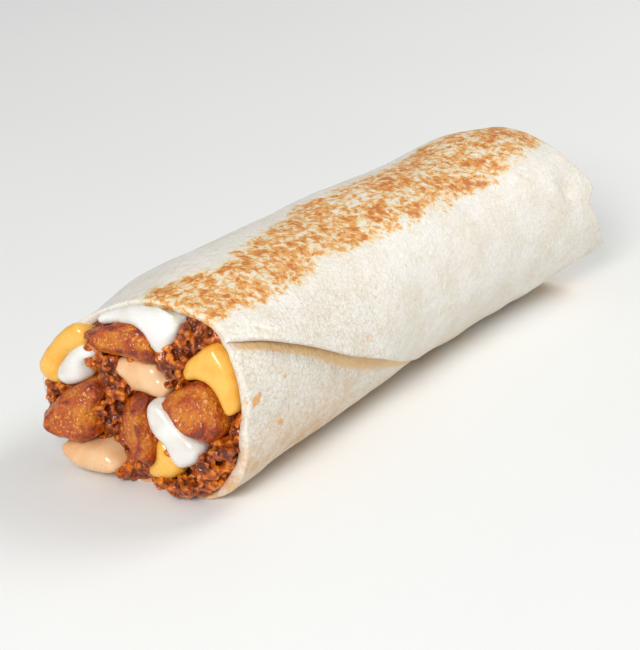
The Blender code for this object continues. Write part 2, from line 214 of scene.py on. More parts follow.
def remeshed(points: Points, faces: Faces, voxel: float) -> tuple[Points, Faces]:
    """Even mesh round a rough one.

    Args:
        points: Places in mm.
        faces: Corner numbers.
        voxel: Spacing of the new mesh in mm.

    Returns:
        The new points and faces.
    """
    item = put_object("rough", points, faces)
    step = item.modifiers.new("even", "REMESH")
    step.mode = "VOXEL"
    step.voxel_size = voxel * MM
    state = item.evaluated_get(bpy.context.evaluated_depsgraph_get())
    mesh = bpy.data.meshes.new_from_object(state)
    places = np.zeros(len(mesh.vertices) * 3)
    mesh.vertices.foreach_get("co", places)
    corners = [tuple(face.vertices) for face in mesh.polygons]
    bpy.data.objects.remove(item)
    bpy.data.meshes.remove(mesh)
    return places.reshape(-1, 3) / MM - ROLL_TO_PART, corners


class Weave:
    """The neighbours in a mesh, for smoothing and for normals."""

    def __init__(self, count: int, faces: Faces) -> None:
        """Find each point's neighbours.

        Args:
            count: Number of points.
            faces: Corner numbers of each face.
        """
        pairs = {tuple(sorted((f[i - 1], f[i]))) for f in faces for i in range(len(f))}
        self.pairs = np.array(sorted(pairs))
        self.count = count
        self.faces = faces
        self.degree = np.bincount(self.pairs.ravel(), minlength=count).clip(1)[:, None]

    def smoothed(self, points: Points, times: int, share: float = 0.5) -> Points:
        """Draw points towards their neighbours.

        Args:
            points: Places in mm.
            times: How many times.
            share: How far each time.

        Returns:
            The smoothed places.
        """
        a, b = self.pairs.T
        for _ in range(times):
            total = np.zeros_like(points)
            for k in range(points.shape[1]):
                total[:, k] = np.bincount(a, points[b, k], self.count)
                total[:, k] += np.bincount(b, points[a, k], self.count)
            points = points + share * (total / self.degree - points)
        return points

    def normals(self, points: Points) -> Points:
        """Outward direction at each point.

        Args:
            points: Places in mm.

        Returns:
            Unit vectors.
        """
        total = np.zeros_like(points)
        quads = np.array([f if len(f) == 4 else (*f, f[0]) for f in self.faces])
        cross = np.cross(points[quads[:, 2]] - points[quads[:, 0]],
                         points[quads[:, 3]] - points[quads[:, 1]])
        for k in range(4):
            for axis in range(3):
                total[:, axis] += np.bincount(quads[:, k], cross[:, axis], self.count)
        return total / np.linalg.norm(total, axis=1, keepdims=True).clip(1e-9)


def softened(rows: list[Points], voxel: float, times: int
             ) -> tuple[Points, Faces, Weave, Points]:
    """Even, smoothed body through a stack of loops.

    Args:
        rows: Loops with the same number of points.
        voxel: Spacing of the mesh in mm.
        times: How many times it is smoothed.

    Returns:
        The points, the faces, their neighbours and the normals.
    """
    points, faces = loft(rows, rows[0].mean(axis=0), rows[-1].mean(axis=0))
    points, faces = remeshed(points, faces, voxel)
    web = Weave(len(points), faces)
    points = web.smoothed(points, times)
    return points, faces, web, web.normals(points)


# The roll's form, with the sizes of the solid


@dataclass(frozen=True)
class Roll:
    """Form of the rolled sheet: one cross-section at each station."""

    near: float = -75.0
    end: float = 69.5
    hollow_end: float = 56.0
    wall: float = 1.7
    flap: float = 1.6
    skew: float = 0.13
    lean: float = 0.08
    stations: tuple[tuple[float, ...], ...] = (
        (-78.0, -3.0, 24.0, 30.0, 42.2, -1.0, 19.0, 2.9, 1.60, 2.8, 2.2),
        (-68.0, -2.5, 24.3, 29.6, 42.6, -1.0, 19.5, 2.8, 1.64, 2.7, 2.3),
        (-56.0, -1.5, 24.7, 29.4, 43.3, -1.0, 20.0, 2.5, 1.92, 2.5, 2.4),
        (-38.0, -0.5, 25.4, 28.2, 42.8, -1.0, 20.5, 2.2, 2.00, 2.45, 2.4),
        (-14.0, 0.0, 25.0, 27.0, 42.3, -1.0, 21.0, 2.1, 2.00, 2.25, 2.4),
        (10.0, 0.0, 24.0, 26.8, 42.3, -1.0, 21.0, 2.1, 2.00, 2.0, 2.4),
        (36.0, 0.0, 24.0, 25.6, 41.4, -0.8, 21.5, 2.1, 2.00, 1.9, 2.3),
        (56.0, -0.5, 24.6, 25.4, 42.3, -0.4, 21.5, 2.1, 2.00, 1.95, 2.2),
        (70.0, -1.0, 24.8, 25.8, 39.9, 1.2, 19.5, 2.1, 2.00, 2.1, 2.2),
    )
    end_out: tuple[tuple[float, float], ...] = (
        (0.0, 0.2), (0.06, 1.2), (0.10, 2.9), (0.14, 4.7), (0.17, 5.8), (0.19, 6.9), (0.20, 6.1),
        (0.22, 3.5), (0.24, 1.6), (0.26, 0.1), (0.28, -1.7), (0.29, -2.0), (0.30, -0.2),
        (0.31, 2.0), (0.32, 2.1), (0.34, 1.3), (0.37, 0.4), (0.42, 0.6), (0.48, 0.0), (1.0, 0.2),
    )
    free_edge: tuple[tuple[float, float], ...] = (
        (-78.0, 0.378), (-70.0, 0.354), (-59.0, 0.319), (-42.0, 0.277), (-22.0, 0.224),
        (-12.0, 0.188), (2.0, 0.132), (16.0, 0.066), (34.0, 0.005), (72.0, -0.040),
    )

    def lookup(self, x: float, table: tuple[tuple[float, ...], ...]) -> Points:
        """Smooth values of a station table.

        Args:
            x: Station.
            table: Rows of a station and its values.

        Returns:
            The values at the station.
        """
        rows = np.array(table, float)
        xs, values = rows[:, 0], rows[:, 1:]
        slopes = np.gradient(values, xs, axis=0)
        i = int(np.clip(np.searchsorted(xs, x) - 1, 0, len(xs) - 2))
        step = xs[i + 1] - xs[i]
        u = float(np.clip((x - xs[i]) / step, 0.0, 1.0))
        start = 2 * u**3 - 3 * u**2 + 1
        bend = step * ((u**3 - 2 * u**2 + u) * slopes[i] + (u**3 - u**2) * slopes[i + 1])
        return start * values[i] + (1 - start) * values[i + 1] + bend

    def section(self, x: float, count: int = 720) -> Points:
        """Outline at a station, from the sole up the near side and round.

        Args:
            x: Station.
            count: Number of points.

        Returns:
            Points as (y, z).
        """
        crown, near, far, top, sole, wide, *power = self.lookup(x, self.stations)
        angle = np.linspace(0, 2 * math.pi, count, endpoint=False) - math.pi / 2
        side, up = np.cos(angle), np.sin(angle)
        upper = np.where(side >= 0, power[0], power[1])
        lower = np.where(side >= 0, power[2], power[3])
        square = 2 / np.where(up >= 0, upper, lower)
        width = np.where(side >= 0, near, far)
        height = np.where(up >= 0, top - wide, wide - sole)
        y = crown - width * np.sign(side) * np.abs(side) ** square
        z = wide + height * np.sign(up) * np.abs(up) ** square
        return np.stack([y, z], axis=1)

    def middle(self, x: float) -> Points:
        """Middle of the cross-section at a station."""
        values = self.lookup(x, self.stations)
        return np.array([values[0], values[5]])

    def edge_share(self, x: float) -> float:
        """Share of the way round at which the sheet's free edge lies."""
        return float(self.lookup(x, self.free_edge)[0])

    @staticmethod
    def outward(loop: Points) -> Points:
        """Outward normals of a closed loop.

        Args:
            loop: Points as (y, z).

        Returns:
            Unit vectors.
        """
        run = np.roll(loop, -1, axis=0) - np.roll(loop, 1, axis=0)
        normal = np.stack([-run[:, 1], run[:, 0]], axis=1)
        return normal / np.linalg.norm(normal, axis=1, keepdims=True).clip(1e-9)

    def round_at(self, x: float, shares: Points) -> tuple[Points, Points, float]:
        """Places at shares of the way round a station.

        Args:
            x: Station.
            shares: Shares of the way round.

        Returns:
            Points and normals as (y, z), and the way's length.
        """
        curve = self.section(x)
        normal = self.outward(curve)
        ring = np.vstack([curve, curve[:1]])
        run = np.concatenate([[0.0], np.cumsum(np.linalg.norm(np.diff(ring, axis=0), axis=1))])
        at = np.mod(shares, 1.0) * run[-1]
        sides = np.vstack([normal, normal[:1]])
        places = np.stack([np.interp(at, run, ring[:, k]) for k in (0, 1)], axis=1)
        normals = np.stack([np.interp(at, run, sides[:, k]) for k in (0, 1)], axis=1)
        return places, normals / np.linalg.norm(normals, axis=1, keepdims=True), run[-1]

    def rim_shift(self, x: float, loop: Points) -> Points:
        """How far the open end's lean moves points along X."""
        lean = self.skew * loop[:, 0] + self.lean * (20.0 - loop[:, 1])
        return -ramp(-30.0, self.near, x) * lean

    def flare(self, shares: Points) -> Points:
        """How far the tucked end's rim runs out at shares of the way round."""
        return np.interp(np.mod(shares, 1.0), *np.array(self.end_out).T)

    def in_space(self, x: float, loop: Points, shift: Points | float = 0.0) -> Points:
        """Cross-section points in space, with the open end's lean."""
        return np.column_stack([x + self.rim_shift(x, loop) + shift, loop[:, 0], loop[:, 1]])


ROLL = Roll()


# Finishes


class Dressing:
    """A material's nodes, in short words."""

    def __init__(self, name: str) -> None:
        """Start a material.

        Args:
            name: The material's name.
        """
        self.material = bpy.data.materials.new(name)
        self.material.use_nodes = True
        self.tree = self.material.node_tree
        self.shader = self.tree.nodes["Principled BSDF"]
        self.place = self.tree.nodes.new("ShaderNodeTexCoord").outputs["Object"]

    def link(self, value: object, socket: bpy.types.NodeSocket) -> None:
        """Set a socket to a number or colour, or link it to another socket."""
        if isinstance(value, bpy.types.NodeSocket):
            self.tree.links.new(value, socket)
        elif isinstance(value, tuple) and len(value) == 3 and socket.type == "RGBA":
            socket.default_value = (*value, 1.0)
        else:
            socket.default_value = value

    def node(self, kind: str, **values: object) -> bpy.types.Node:
        """New node.

        Args:
            kind: Its type, without the prefix.
            values: Its inputs by name, with spaces written as underscores.

        Returns:
            The node.
        """
        node = self.tree.nodes.new("ShaderNode" + kind)
        for name, value in values.items():
            self.link(value, node.inputs[name.replace("_", " ")])
        return node

    def noise(self, size: float, detail: float = 2.0, rough: float = 0.5, twist: float = 0.0
              ) -> bpy.types.NodeSocket:
        """Cloudy pattern.

        Args:
            size: Length of its patches in mm.
            detail: Number of finer layers.
            rough: Strength of the finer layers.
            twist: How far it is distorted.

        Returns:
            A value about 0.5.
        """
        moved = self.node("Mapping", Vector=self.place, Scale=(1 / (size * MM),) * 3)
        return self.node("TexNoise", Vector=moved.outputs["Vector"], Scale=1.0, Detail=detail,
                         Roughness=rough, Distortion=twist).outputs[0]

    def cells(self, size: float) -> bpy.types.NodeSocket:
        """Distance to the nearest of scattered seeds, about 0 to 1."""
        return self.node("TexVoronoi", Vector=self.place, Scale=1 / (size * MM)).outputs["Distance"]

    def net(self, size: float, bend: float) -> bpy.types.NodeSocket:
        """Distance to the nearest line of an uneven net, 0 on its lines.

        Args:
            size: Width of its meshes in mm.
            bend: How far its lines wander in mm.

        Returns:
            The distance as a share of the size.
        """
        wander = self.node("TexNoise", Vector=self.place, Scale=1 / (0.7 * size * MM), Detail=4.0)
        moved = self.node("VectorMath")
        moved.operation = "MULTIPLY_ADD"
        for value, socket in zip((wander.outputs["Color"], (bend * MM,) * 3, self.place),
                                 moved.inputs):
            self.link(value, socket)
        node = self.node("TexVoronoi", Vector=moved.outputs[0], Scale=1 / (size * MM))
        node.feature = "DISTANCE_TO_EDGE"
        return node.outputs["Distance"]

    def mark(self, name: str) -> bpy.types.NodeSocket:
        """Values stored on the mesh.

        Args:
            name: The attribute's name.

        Returns:
            Its value.
        """
        node = self.node("Attribute")
        node.attribute_name = name
        return node.outputs["Fac"]

    def sum(self, kind: str, *values: object) -> bpy.types.NodeSocket:
        """Arithmetic on two or three values.

        Args:
            kind: The operation.
            values: Numbers or sockets.

        Returns:
            The result.
        """
        node = self.node("Math")
        node.operation = kind
        for value, socket in zip(values, node.inputs):
            self.link(value, socket)
        return node.outputs[0]

    def step(self, value: object, low: float, high: float, start: float = 0.0,
             end: float = 1.0) -> bpy.types.NodeSocket:
        """Smooth step of a value.

        Args:
            value: Number or socket.
            low: Where the step begins.
            high: Where it ends.
            start: Result up to low.
            end: Result from high on.

        Returns:
            The result.
        """
        node = self.node("MapRange", Value=value, From_Min=low, From_Max=high, To_Min=start,
                         To_Max=end)
        node.interpolation_type = "SMOOTHSTEP"
        return node.outputs["Result"]

    def blend(self, share: object, a: object, b: object) -> bpy.types.NodeSocket:
        """Mix of two colours.

        Args:
            share: How much of the second, 0 to 1.
            a: First colour.
            b: Second colour.

        Returns:
            The mixed colour.
        """
        node = self.node("Mix")
        node.data_type = "RGBA"
        for value, number in ((share, 0), (a, 6), (b, 7)):
            self.link(value, node.inputs[number])
        return node.outputs[2]

    def layers(self, base: object, *plan: tuple[object, float, float, float, Colour]
               ) -> bpy.types.NodeSocket:
        """Colours laid over a base, one after the other.

        Args:
            base: Colour underneath.
            plan: For each layer its pattern, where it begins and is full, its cover and colour.

        Returns:
            The colour on top.
        """
        for value, low, high, cover, colour in plan:
            base = self.blend(self.step(value, low, high, 0.0, cover), base, colour)
        return base

    def relief(self, height: object, depth: float, under: object = None
               ) -> bpy.types.NodeSocket:
        """Fine relief.

        Args:
            height: Pattern of its height.
            depth: Its depth in mm.
            under: Relief that it lies on, if any.

        Returns:
            The normal.
        """
        node = self.node("Bump", Strength=1.0, Distance=depth * MM, Height=height)
        if under is not None:
            self.link(under, node.inputs["Normal"])
        return node.outputs["Normal"]

    def finish(self, colour: object, rough: object, normal: object = None,
               **fixed: float) -> bpy.types.Material:
        """Wire the shader and return the material.

        Args:
            colour: Base colour.
            rough: Roughness.
            normal: Relief, if any.
            fixed: Other sockets by name, with spaces written as underscores.

        Returns:
            The finished material.
        """
        self.link(colour, self.shader.inputs["Base Color"])
        self.link(rough, self.shader.inputs["Roughness"])
        if normal is not None:
            self.link(normal, self.shader.inputs["Normal"])
        for name, value in fixed.items():
            self.shader.inputs[name.replace("_", " ")].default_value = value
        return self.material


@dataclass(frozen=True)
class GriddledSheet:
    """Flour tortilla, floury and pale, with golden-brown patches where it was griddled."""

    pale: Colour = paint(244, 240, 232)
    cream: Colour = paint(237, 230, 217)
    dust: Colour = paint(205, 190, 162)
    dough: Colour = paint(226, 214, 188)
    freckle: Colour = paint(210, 184, 142)
    crack: Colour = paint(192, 178, 148)
    # White of flour dust, also used for painted sparkle highlights.
    flour: Colour = paint(249, 247, 241)
    halo: Colour = paint(238, 210, 152)
    golden: Colour = paint(230, 162, 74)
    brown: Colour = paint(198, 106, 34)
    # Painted shade and warm reflected light low on the roll, with a tan tint at the far end's low
    # edge.
    warm_shade_and_tan: Colour = paint(222, 180, 134)
    stain: Colour = paint(205, 140, 78)
    # Painted shade under the lifted free edge, and a darker painted shadow in its undercut.
    shade: Colour = paint(232, 184, 110)
    undercut_shadow: Colour = paint(150, 110, 62)

    def material(self) -> bpy.types.Material:
        """Build the finish."""
        make = Dressing("griddled_tortilla")
        clouds = make.step(make.noise(9.0, 3.0), 0.35, 0.65)
        flour = make.step(make.noise(0.9, 3.0, 0.6), 0.3, 0.7)
        base = make.blend(clouds, self.cream, self.pale)
        base = make.blend(make.sum("MULTIPLY", flour, 0.18), base, self.dust)
        freckles = make.sum("MULTIPLY_ADD", make.mark("mottle"), 0.09, make.noise(1.2, 3.0, 0.65))
        base = make.layers(base, (make.noise(4.2, 3.0, 0.6, 0.4), 0.54, 0.70, 0.45, self.dough),
                           (freckles, 0.62, 0.76, 0.55, self.freckle),
                           # White flecks: flour dust, and partly painted sparkle highlights.
                           (make.noise(0.7, 2.0, 0.6), 0.57, 0.68, 0.6, self.flour))
        patchy = make.step(make.noise(3.6, 3.0, 0.6, 0.3), 0.40, 0.62, 0.4, 0.95)
        # Warm tint low on the roll, in patches: painted shade and reflected light, and the far
        # end's tan edge.
        base = make.blend(make.sum("MULTIPLY", make.mark("warm_shade_and_tan"), patchy), base, self.warm_shade_and_tan)
        cracks = make.step(make.net(1.5, 1.9), 0.01, 0.10, 0.45, 0.0)
        aged = make.sum("MULTIPLY_ADD", make.mark("mottle"), 0.75, 0.08)
        base = make.blend(make.sum("MULTIPLY", cracks, aged), base, self.crack)
        level = make.sum("MULTIPLY_ADD", make.mark("toast"), 0.62, -0.72)
        for pattern, weight in ((make.noise(6.0, 2.0, 0.5), 0.75),
                                (make.noise(1.9, 4.0, 0.62, 0.5), 1.5),
                                (make.net(2.1, 1.6), -0.45)):
            level = make.sum("MULTIPLY_ADD", pattern, weight, level)
        rubbed = make.sum("MULTIPLY_ADD", make.noise(0.5, 2.0, 0.6), 0.4,
                          make.sum("ADD", level, -0.2))
        fleck = make.sum("MULTIPLY_ADD", make.noise(1.4, 3.0, 0.6), 0.5, make.mark("spot"))
        base = make.layers(base, (level, 0.68, 0.84, 0.7, self.halo),
                           (rubbed, 0.86, 0.98, 0.92, self.golden),
                           (rubbed, 1.02, 1.2, 0.85, self.brown),
                           (fleck, 0.62, 0.85, 0.8, self.golden))
        # Painted shade: a tan band just below the free edge, and a darker painted shadow in the
        # undercut beneath it.
        base = make.blend(make.sum("MULTIPLY", make.mark("seam"), 0.9), base, self.shade)
        base = make.layers(base, (make.mark("seam"), 0.9, 0.99, 0.8, self.undercut_shadow))
        base = make.blend(make.mark("stain"), base, self.stain)
        bumps = make.relief(make.noise(2.2, 5.0, 0.62, 0.4), 0.42)
        bumps = make.relief(flour, 0.08, bumps)
        rough = make.step(make.noise(1.5, 3.0, 0.6), 0.42, 0.6, 0.34, 0.5)
        return make.finish(base, rough, bumps, Specular_IOR_Level=0.42,
                           Subsurface_Weight=0.08, Subsurface_Scale=0.002)


@dataclass(frozen=True)
class SmoothSauce:
    """Thick, wet sauce or cream with faint streaks."""

    name: str
    body: Colour
    deep: Colour
    speck: Colour | None = None
    rough: float = 0.22

    def material(self) -> bpy.types.Material:
        """Build the finish."""
        make = Dressing(self.name)
        streaks = make.step(make.noise(6.0, 1.0, 0.4, 0.8), 0.38, 0.68)
        base = make.blend(streaks, self.body, self.deep)
        if self.speck is not None:
            dots = make.step(make.cells(1.6), 0.02, 0.13, 0.75, 0.0)
            base = make.blend(dots, base, self.speck)
        bumps = make.relief(make.noise(4.0, 1.0), 0.12)
        rough = make.step(make.noise(3.0, 1.0), 0.3, 0.7, self.rough, self.rough + 0.06)
        return make.finish(base, rough, bumps, Subsurface_Weight=0.3, Subsurface_Scale=0.0015,
                           Specular_IOR_Level=0.5, Coat_Weight=0.4, Coat_Roughness=0.08)


@dataclass(frozen=True)
class CrispPotato:
    """Seasoned potato fried crisp, darker along its edges."""

    body: Colour = paint(190, 86, 6)
    bright: Colour = paint(212, 124, 18)
    red: Colour = paint(176, 62, 4)
    crust: Colour = paint(156, 60, 6)
    # Painted glints: yellow dots standing for highlights on the oily crust.
    painted_oil_glint: Colour = paint(240, 176, 70)
    edge: Colour = paint(112, 32, 8)
    speck: Colour = paint(84, 26, 10)

    def material(self) -> bpy.types.Material:
        """Build the finish."""
        make = Dressing("crisp_potato")
        clouds = make.step(make.noise(4.2, 3.0, 0.6), 0.36, 0.64)
        grain = make.noise(0.75, 3.0, 0.7)
        base = make.blend(clouds, self.body, self.bright)
        crisp = make.sum("MULTIPLY_ADD", make.noise(3.4, 4.0, 0.6), 2.4,
                         make.sum("MULTIPLY", make.mark("edge"), 0.7))
        base = make.layers(base, (make.noise(7.0, 2.0), 0.46, 0.66, 0.75, self.red),
                           (grain, 0.5, 0.72, 0.55, self.crust),
                           # Painted glints of oil on the crust.
                           (make.noise(0.6, 2.0, 0.6), 0.54, 0.66, 0.75, self.painted_oil_glint),
                           (crisp, 1.35, 1.75, 0.8, self.red),
                           (crisp, 1.65, 2.0, 0.8, self.edge))
        dots = make.step(make.cells(2.4), 0.02, 0.09, 0.8, 0.0)
        base = make.blend(dots, base, self.speck)
        bumps = make.relief(grain, 0.55)
        bumps = make.relief(make.noise(1.6, 3.0, 0.6), 0.3, bumps)
        rough = make.step(grain, 0.3, 0.7, 0.24, 0.42)
        return make.finish(base, rough, bumps, Specular_IOR_Level=0.45, Coat_Weight=0.4,
                           Coat_Roughness=0.09, Subsurface_Weight=0.08, Subsurface_Scale=0.001)


@dataclass(frozen=True)
class SeasonedBeef:
    """Moist crumbs of browned beef."""

    light: Colour = paint(226, 130, 24)
    body: Colour = paint(172, 76, 4)
    dark: Colour = paint(100, 36, 3)

    def material(self) -> bpy.types.Material:
        """Build the finish."""
        make = Dressing("seasoned_beef")
        # Tone: random tone of the beef, with painted shade in the hollows between crumbs and
        # painted light on their knobs.
        tone_and_shade = make.sum("MULTIPLY_ADD", make.noise(1.1, 3.0, 0.6), 0.8, make.mark("tone_and_shade"))
        base = make.layers(self.dark, (tone_and_shade, 0.35, 0.75, 1.0, self.body),
                           (tone_and_shade, 0.75, 1.25, 1.0, self.light))
        bumps = make.relief(make.sum("MULTIPLY", make.cells(0.9), -1.0), 0.35)
        bumps = make.relief(make.noise(0.5, 2.0, 0.6), 0.25, bumps)
        rough = make.step(make.noise(1.2, 2.0), 0.3, 0.7, 0.14, 0.4)
        return make.finish(base, rough, bumps, Specular_IOR_Level=0.3, Coat_Weight=0.55,
                           Coat_Roughness=0.03, Subsurface_Weight=0.12,
                           Subsurface_Scale=0.0008)


# The sheet


@dataclass
class Tortilla:
    """The rolled sheet: outside, lifted free edge, open rim, inside and tucked end."""

    rows: int = 262
    columns: int = 288
    row_step: float = 0.55
    lift: float = 1.3
    undercut: float = 5.5
    edge_thickness: float = 1.3
    edge_drop: tuple[float, ...] = (0.75, 0.28, 0.06)
    rim_lip: float = 0.55
    heel: float = 2.8
    near_lip: float = 1.7
    near_wall: float = 1.8
    rim_rings: int = 5
    end_rings: int = 26
    lumps: Unevenness = field(default_factory=lambda: Unevenness(3))
    inside_stations: tuple[float, ...] = (-74.0, -72.0, -69.0, -58.0, -44.0, -28.0, -8.0, 14.0,
                                          36.0, 56.0)
    end_profile: tuple[tuple[float, float], ...] = (
        (1.0, 0.0), (0.98, -0.5), (0.944, -0.7), (0.908, 0.3), (0.88, 2.2), (0.69, 3.2),
        (0.46, 3.0), (0.23, 2.4), (0.0, 2.2),
    )
    toast_near: tuple[tuple[float, float], ...] = (
        (-80.0, -15.0), (-71.0, -17.6), (-60.0, -19.2), (-48.0, -18.5), (-37.0, -16.5),
        (-32.0, -14.8), (-22.0, -15.2), (-10.0, -15.2), (8.0, -16.4), (27.0, -15.4),
        (40.0, -14.4), (49.0, -15.0), (58.0, -13.5), (66.0, -11.5), (75.0, -9.0),
    )
    toast_far: tuple[tuple[float, float], ...] = (
        (-80.0, 5.0), (-68.0, 4.0), (-62.0, 0.8), (-54.0, -0.8), (-47.0, 0.6), (-27.0, 6.6),
        (-8.0, 12.0), (2.0, 8.6), (12.0, 10.0), (24.0, 10.8), (31.0, 9.5), (42.0, 12.0),
        (75.0, 16.0),
    )
    spots: tuple[tuple[float, ...], ...] = (
        (-70.7, -26.6, 26.0, 1.5, 0.8), (-59.4, -26.3, 27.4, 1.5, 0.62),
        (-61.7, -26.9, 17.3, 1.6, 0.62), (-58.0, -27.2, 14.1, 1.2, 0.55),
        (-45.0, -27.5, 24.5, 1.5, 0.52), (-30.9, -27.5, 26.1, 1.3, 0.6),
        (-68.3, -25.9, 32.5, 1.2, 0.5), (-51.9, -18.6, 41.4, 1.6, 0.6),
        (-66.8, -26.9, 11.1, 1.2, 0.5),
    )

    def column_plan(self) -> tuple[Points, Points, Points]:
        """Where the columns lie round the sheet.

        Returns:
            Share of the turn, extra distance in mm from the free edge scaled by the
            undercut, and layer: 0 on top, 1 the edge's front, 2 underneath, 3 the layer below.
        """
        main = np.linspace(0.0, 1.0, self.columns)
        turn = np.concatenate([[0.0, 0.0], main, [1.0, 1.0, 1.0], [0.0, 0.0, 0.0, 0.0]])
        extra = np.concatenate([[-0.15, -0.02], np.zeros(self.columns), [0.25, 0.6, 1.0],
                                [0.95, 0.55, 0.2, 0.02]])
        layer = np.concatenate([[1, 1.5], np.zeros(self.columns), [3, 3, 3], [2, 2, 2, 2]])
        return turn, extra, layer

    def lift_at(self, x: float) -> float:
        """How far the free edge is lifted at a station."""
        return self.lift * float(ramp(-76.0, -60.0, x) * (1 - ramp(-24.0, -6.0, x)))

    def outer_loop(self, x: float) -> tuple[Points, Points, Points]:
        """Outside of the sheet at a station.

        Args:
            x: Station.

        Returns:
            Points as (y, z), normals, and shares of the way round.
        """
        turn, extra, layer = self.column_plan()
        open_share = float(ramp(-75.5, -66.0, x) * (1 - ramp(-14.0, 6.0, x)))
        reach = 0.4 + (self.undercut - 0.4) * open_share
        _, _, length = ROLL.round_at(x, np.zeros(1))
        edge = ROLL.edge_share(x)
        on_top = layer == 0
        distance = np.where(on_top, turn * length, 0.0)
        distance = np.where(layer >= 1, np.where(extra > 0, extra * reach, extra * 2.0), distance)
        distance[0] = -0.12
        fixed = on_top & (turn > 0.5)
        lift = np.where(fixed, 0.0, self.lift_at(x) * bell(distance, 0.0, 6.0))
        thin = np.where(fixed, 0.0, 0.62 * float(ramp(-26.0, -8.0, x)) * bell(distance, 0.0, 9.0))
        top = ROLL.flap * np.where(on_top, 1 - turn, 1.0) * (1 - thin) + lift
        rise = np.where(layer == 2, np.maximum(top - self.edge_thickness, 0.04), top)
        rise = np.where(layer == 3, 0.0, rise)
        rise[:3] = top[:3] - self.edge_drop
        shares = edge + distance / length
        places, normals, _ = ROLL.round_at(x, shares)
        return places + normals * rise[:, None], normals, shares

    def swell(self, points: Points, normals: Points) -> Points:
        """Soft lumps, dents and wrinkles of the sheet, in mm along its normals.

        Args:
            points: Places in the roll's frame.
            normals: (y, z) normals.

        Returns:
            How far each point moves out.
        """
        total = 0.38 * self.lumps.at(points * [1.0, 1.3, 1.3], 17.0)
        total += 0.16 * self.lumps.at(points + 31.0, 7.0)
        total += 0.05 * self.lumps.at(points + 57.0, 2.4)
        x, _, z = points.T
        near_side = ramp(0.2, 0.8, -normals[:, 0])
        along = (x + 52.0) * 0.80 + (z - 9.0) * 0.60
        across = -(x + 52.0) * 0.60 + (z - 9.0) * 0.80
        wrinkles = np.sin(across * 2.6 + 0.8 * self.lumps.at(points, 6.0))
        total += 0.16 * wrinkles * near_side * bell(along, 0.0, 7.0) * bell(across, 0.0, 7.0)
        dimple = bell(x, 61.0, 3.2) * bell(z, 32.0, 2.6) * near_side
        facet = bell(x, 57.0, 4.0) * bell(z, 31.5, 3.6) * near_side
        return total - 1.3 * dimple + 0.5 * facet

    def outer_rows(self) -> tuple[list[Points], list[Points]]:
        """Outside of the sheet from the open rim to the tucked end.

        Returns:
            Loops in space, and each loop's shares of the way round.
        """
        rows, turns = [], []
        for x in np.linspace(ROLL.near, ROLL.end, self.rows):
            loop, normals, shares = self.outer_loop(float(x))
            flare = float(ramp(40.0, ROLL.end, x)) * ROLL.flare(shares)
            row = ROLL.in_space(float(x), loop, flare)
            calm = float(ramp(ROLL.near - 1.0, ROLL.near + 4.0, x))
            out = self.swell(row, normals) * (0.35 + 0.65 * calm)
            row[:, 1:] += normals * out[:, None]
            raised = ramp(14.0, 2.0, row[:, 2]) * ramp(4.0, -16.0, row[:, 1])
            row[:, 2] += self.heel * float(ramp(48.0, 68.0, x)) * raised
            row[:, 2] = np.maximum(row[:, 2], 0.0)
            rows.append(row)
            turns.append(shares)
        return rows, turns

    def rim_wave(self, shares: Points) -> Points:
        """Unevenness of the open rim along X."""
        turn = 2 * math.pi * shares
        ring = 30.0 * np.column_stack([np.cos(turn), np.sin(turn), np.zeros(len(shares))])
        return 0.35 * self.lumps.at(ring, 6.0) + 0.15 * self.lumps.at(ring, 2.0)

    @staticmethod
    def near_share(row: Points) -> Points:
        """1 on the near side of a loop above the sole, 0 elsewhere."""
        return ramp(-17.0, -24.0, row[:, 1]) * ramp(2.0, 12.0, row[:, 2])

    def inner_rows(self) -> list[Points]:
        """Inside of the sheet.

        Returns:
            Loops in space, from the open rim to the hollow's end.
        """
        count = len(self.column_plan()[0])
        edge = ROLL.edge_share(ROLL.near)
        shares = edge + np.linspace(0.0, 1.0, count, endpoint=False)
        rows = []
        for x in self.inside_stations:
            places, normals, _ = ROLL.round_at(x, shares)
            near_side = ramp(0.2, 0.9, -normals[:, 0]) * float(ramp(-64.0, -73.0, x))
            wall = ROLL.wall - 0.7 * float(ramp(-69.0, -74.0, x)) + self.near_wall * near_side
            row = ROLL.in_space(x, places - normals * wall[:, None])
            row[:, 2] = np.maximum(row[:, 2], wall)
            rows.append(row)
        return rows

    def rim_rows(self, outer: Points, inner: Points) -> list[Points]:
        """Rounded lip of the open rim.

        Args:
            outer: First outside loop.
            inner: First inside loop.

        Returns:
            The loops between them.
        """
        rows = []
        for n in range(1, self.rim_rings + 1):
            share = n / (self.rim_rings + 1)
            row = outer + (inner - outer) * share
            row[:, 0] -= self.rim_lip * math.sin(math.pi * share) ** 0.6
            rows.append(row)
        return rows

    def end_rows(self, outer: Points, shares: Points) -> tuple[list[Points], Points]:
        """Tucked end: lip, sunk face and its folds.

        Args:
            outer: Last outside loop.
            shares: Its shares of the way round.

        Returns:
            The loops, and the point that closes them.
        """
        middle = ROLL.middle(ROLL.end)
        flare = ROLL.flare(shares)
        profile = np.array(self.end_profile)
        rows = []
        for q in np.linspace(1.0, 0.0, self.end_rings)[1:-1]:
            back = float(np.interp(q, profile[::-1, 0], profile[::-1, 1]))
            row = outer.copy()
            row[:, 1:] = middle + (outer[:, 1:] - middle) * q
            share = 1.0 if q > 0.88 else q**2 * 0.5 / 0.388
            folds = self.fold(row) * float(1 - ramp(0.80, 0.9, q))
            row[:, 0] = ROLL.end + flare * share - back + folds
            rows.append(row)
        tip = np.array([[ROLL.end - self.end_profile[-1][1], *middle]])
        tip[:, 0] += self.fold(tip)
        return rows, tip[0]

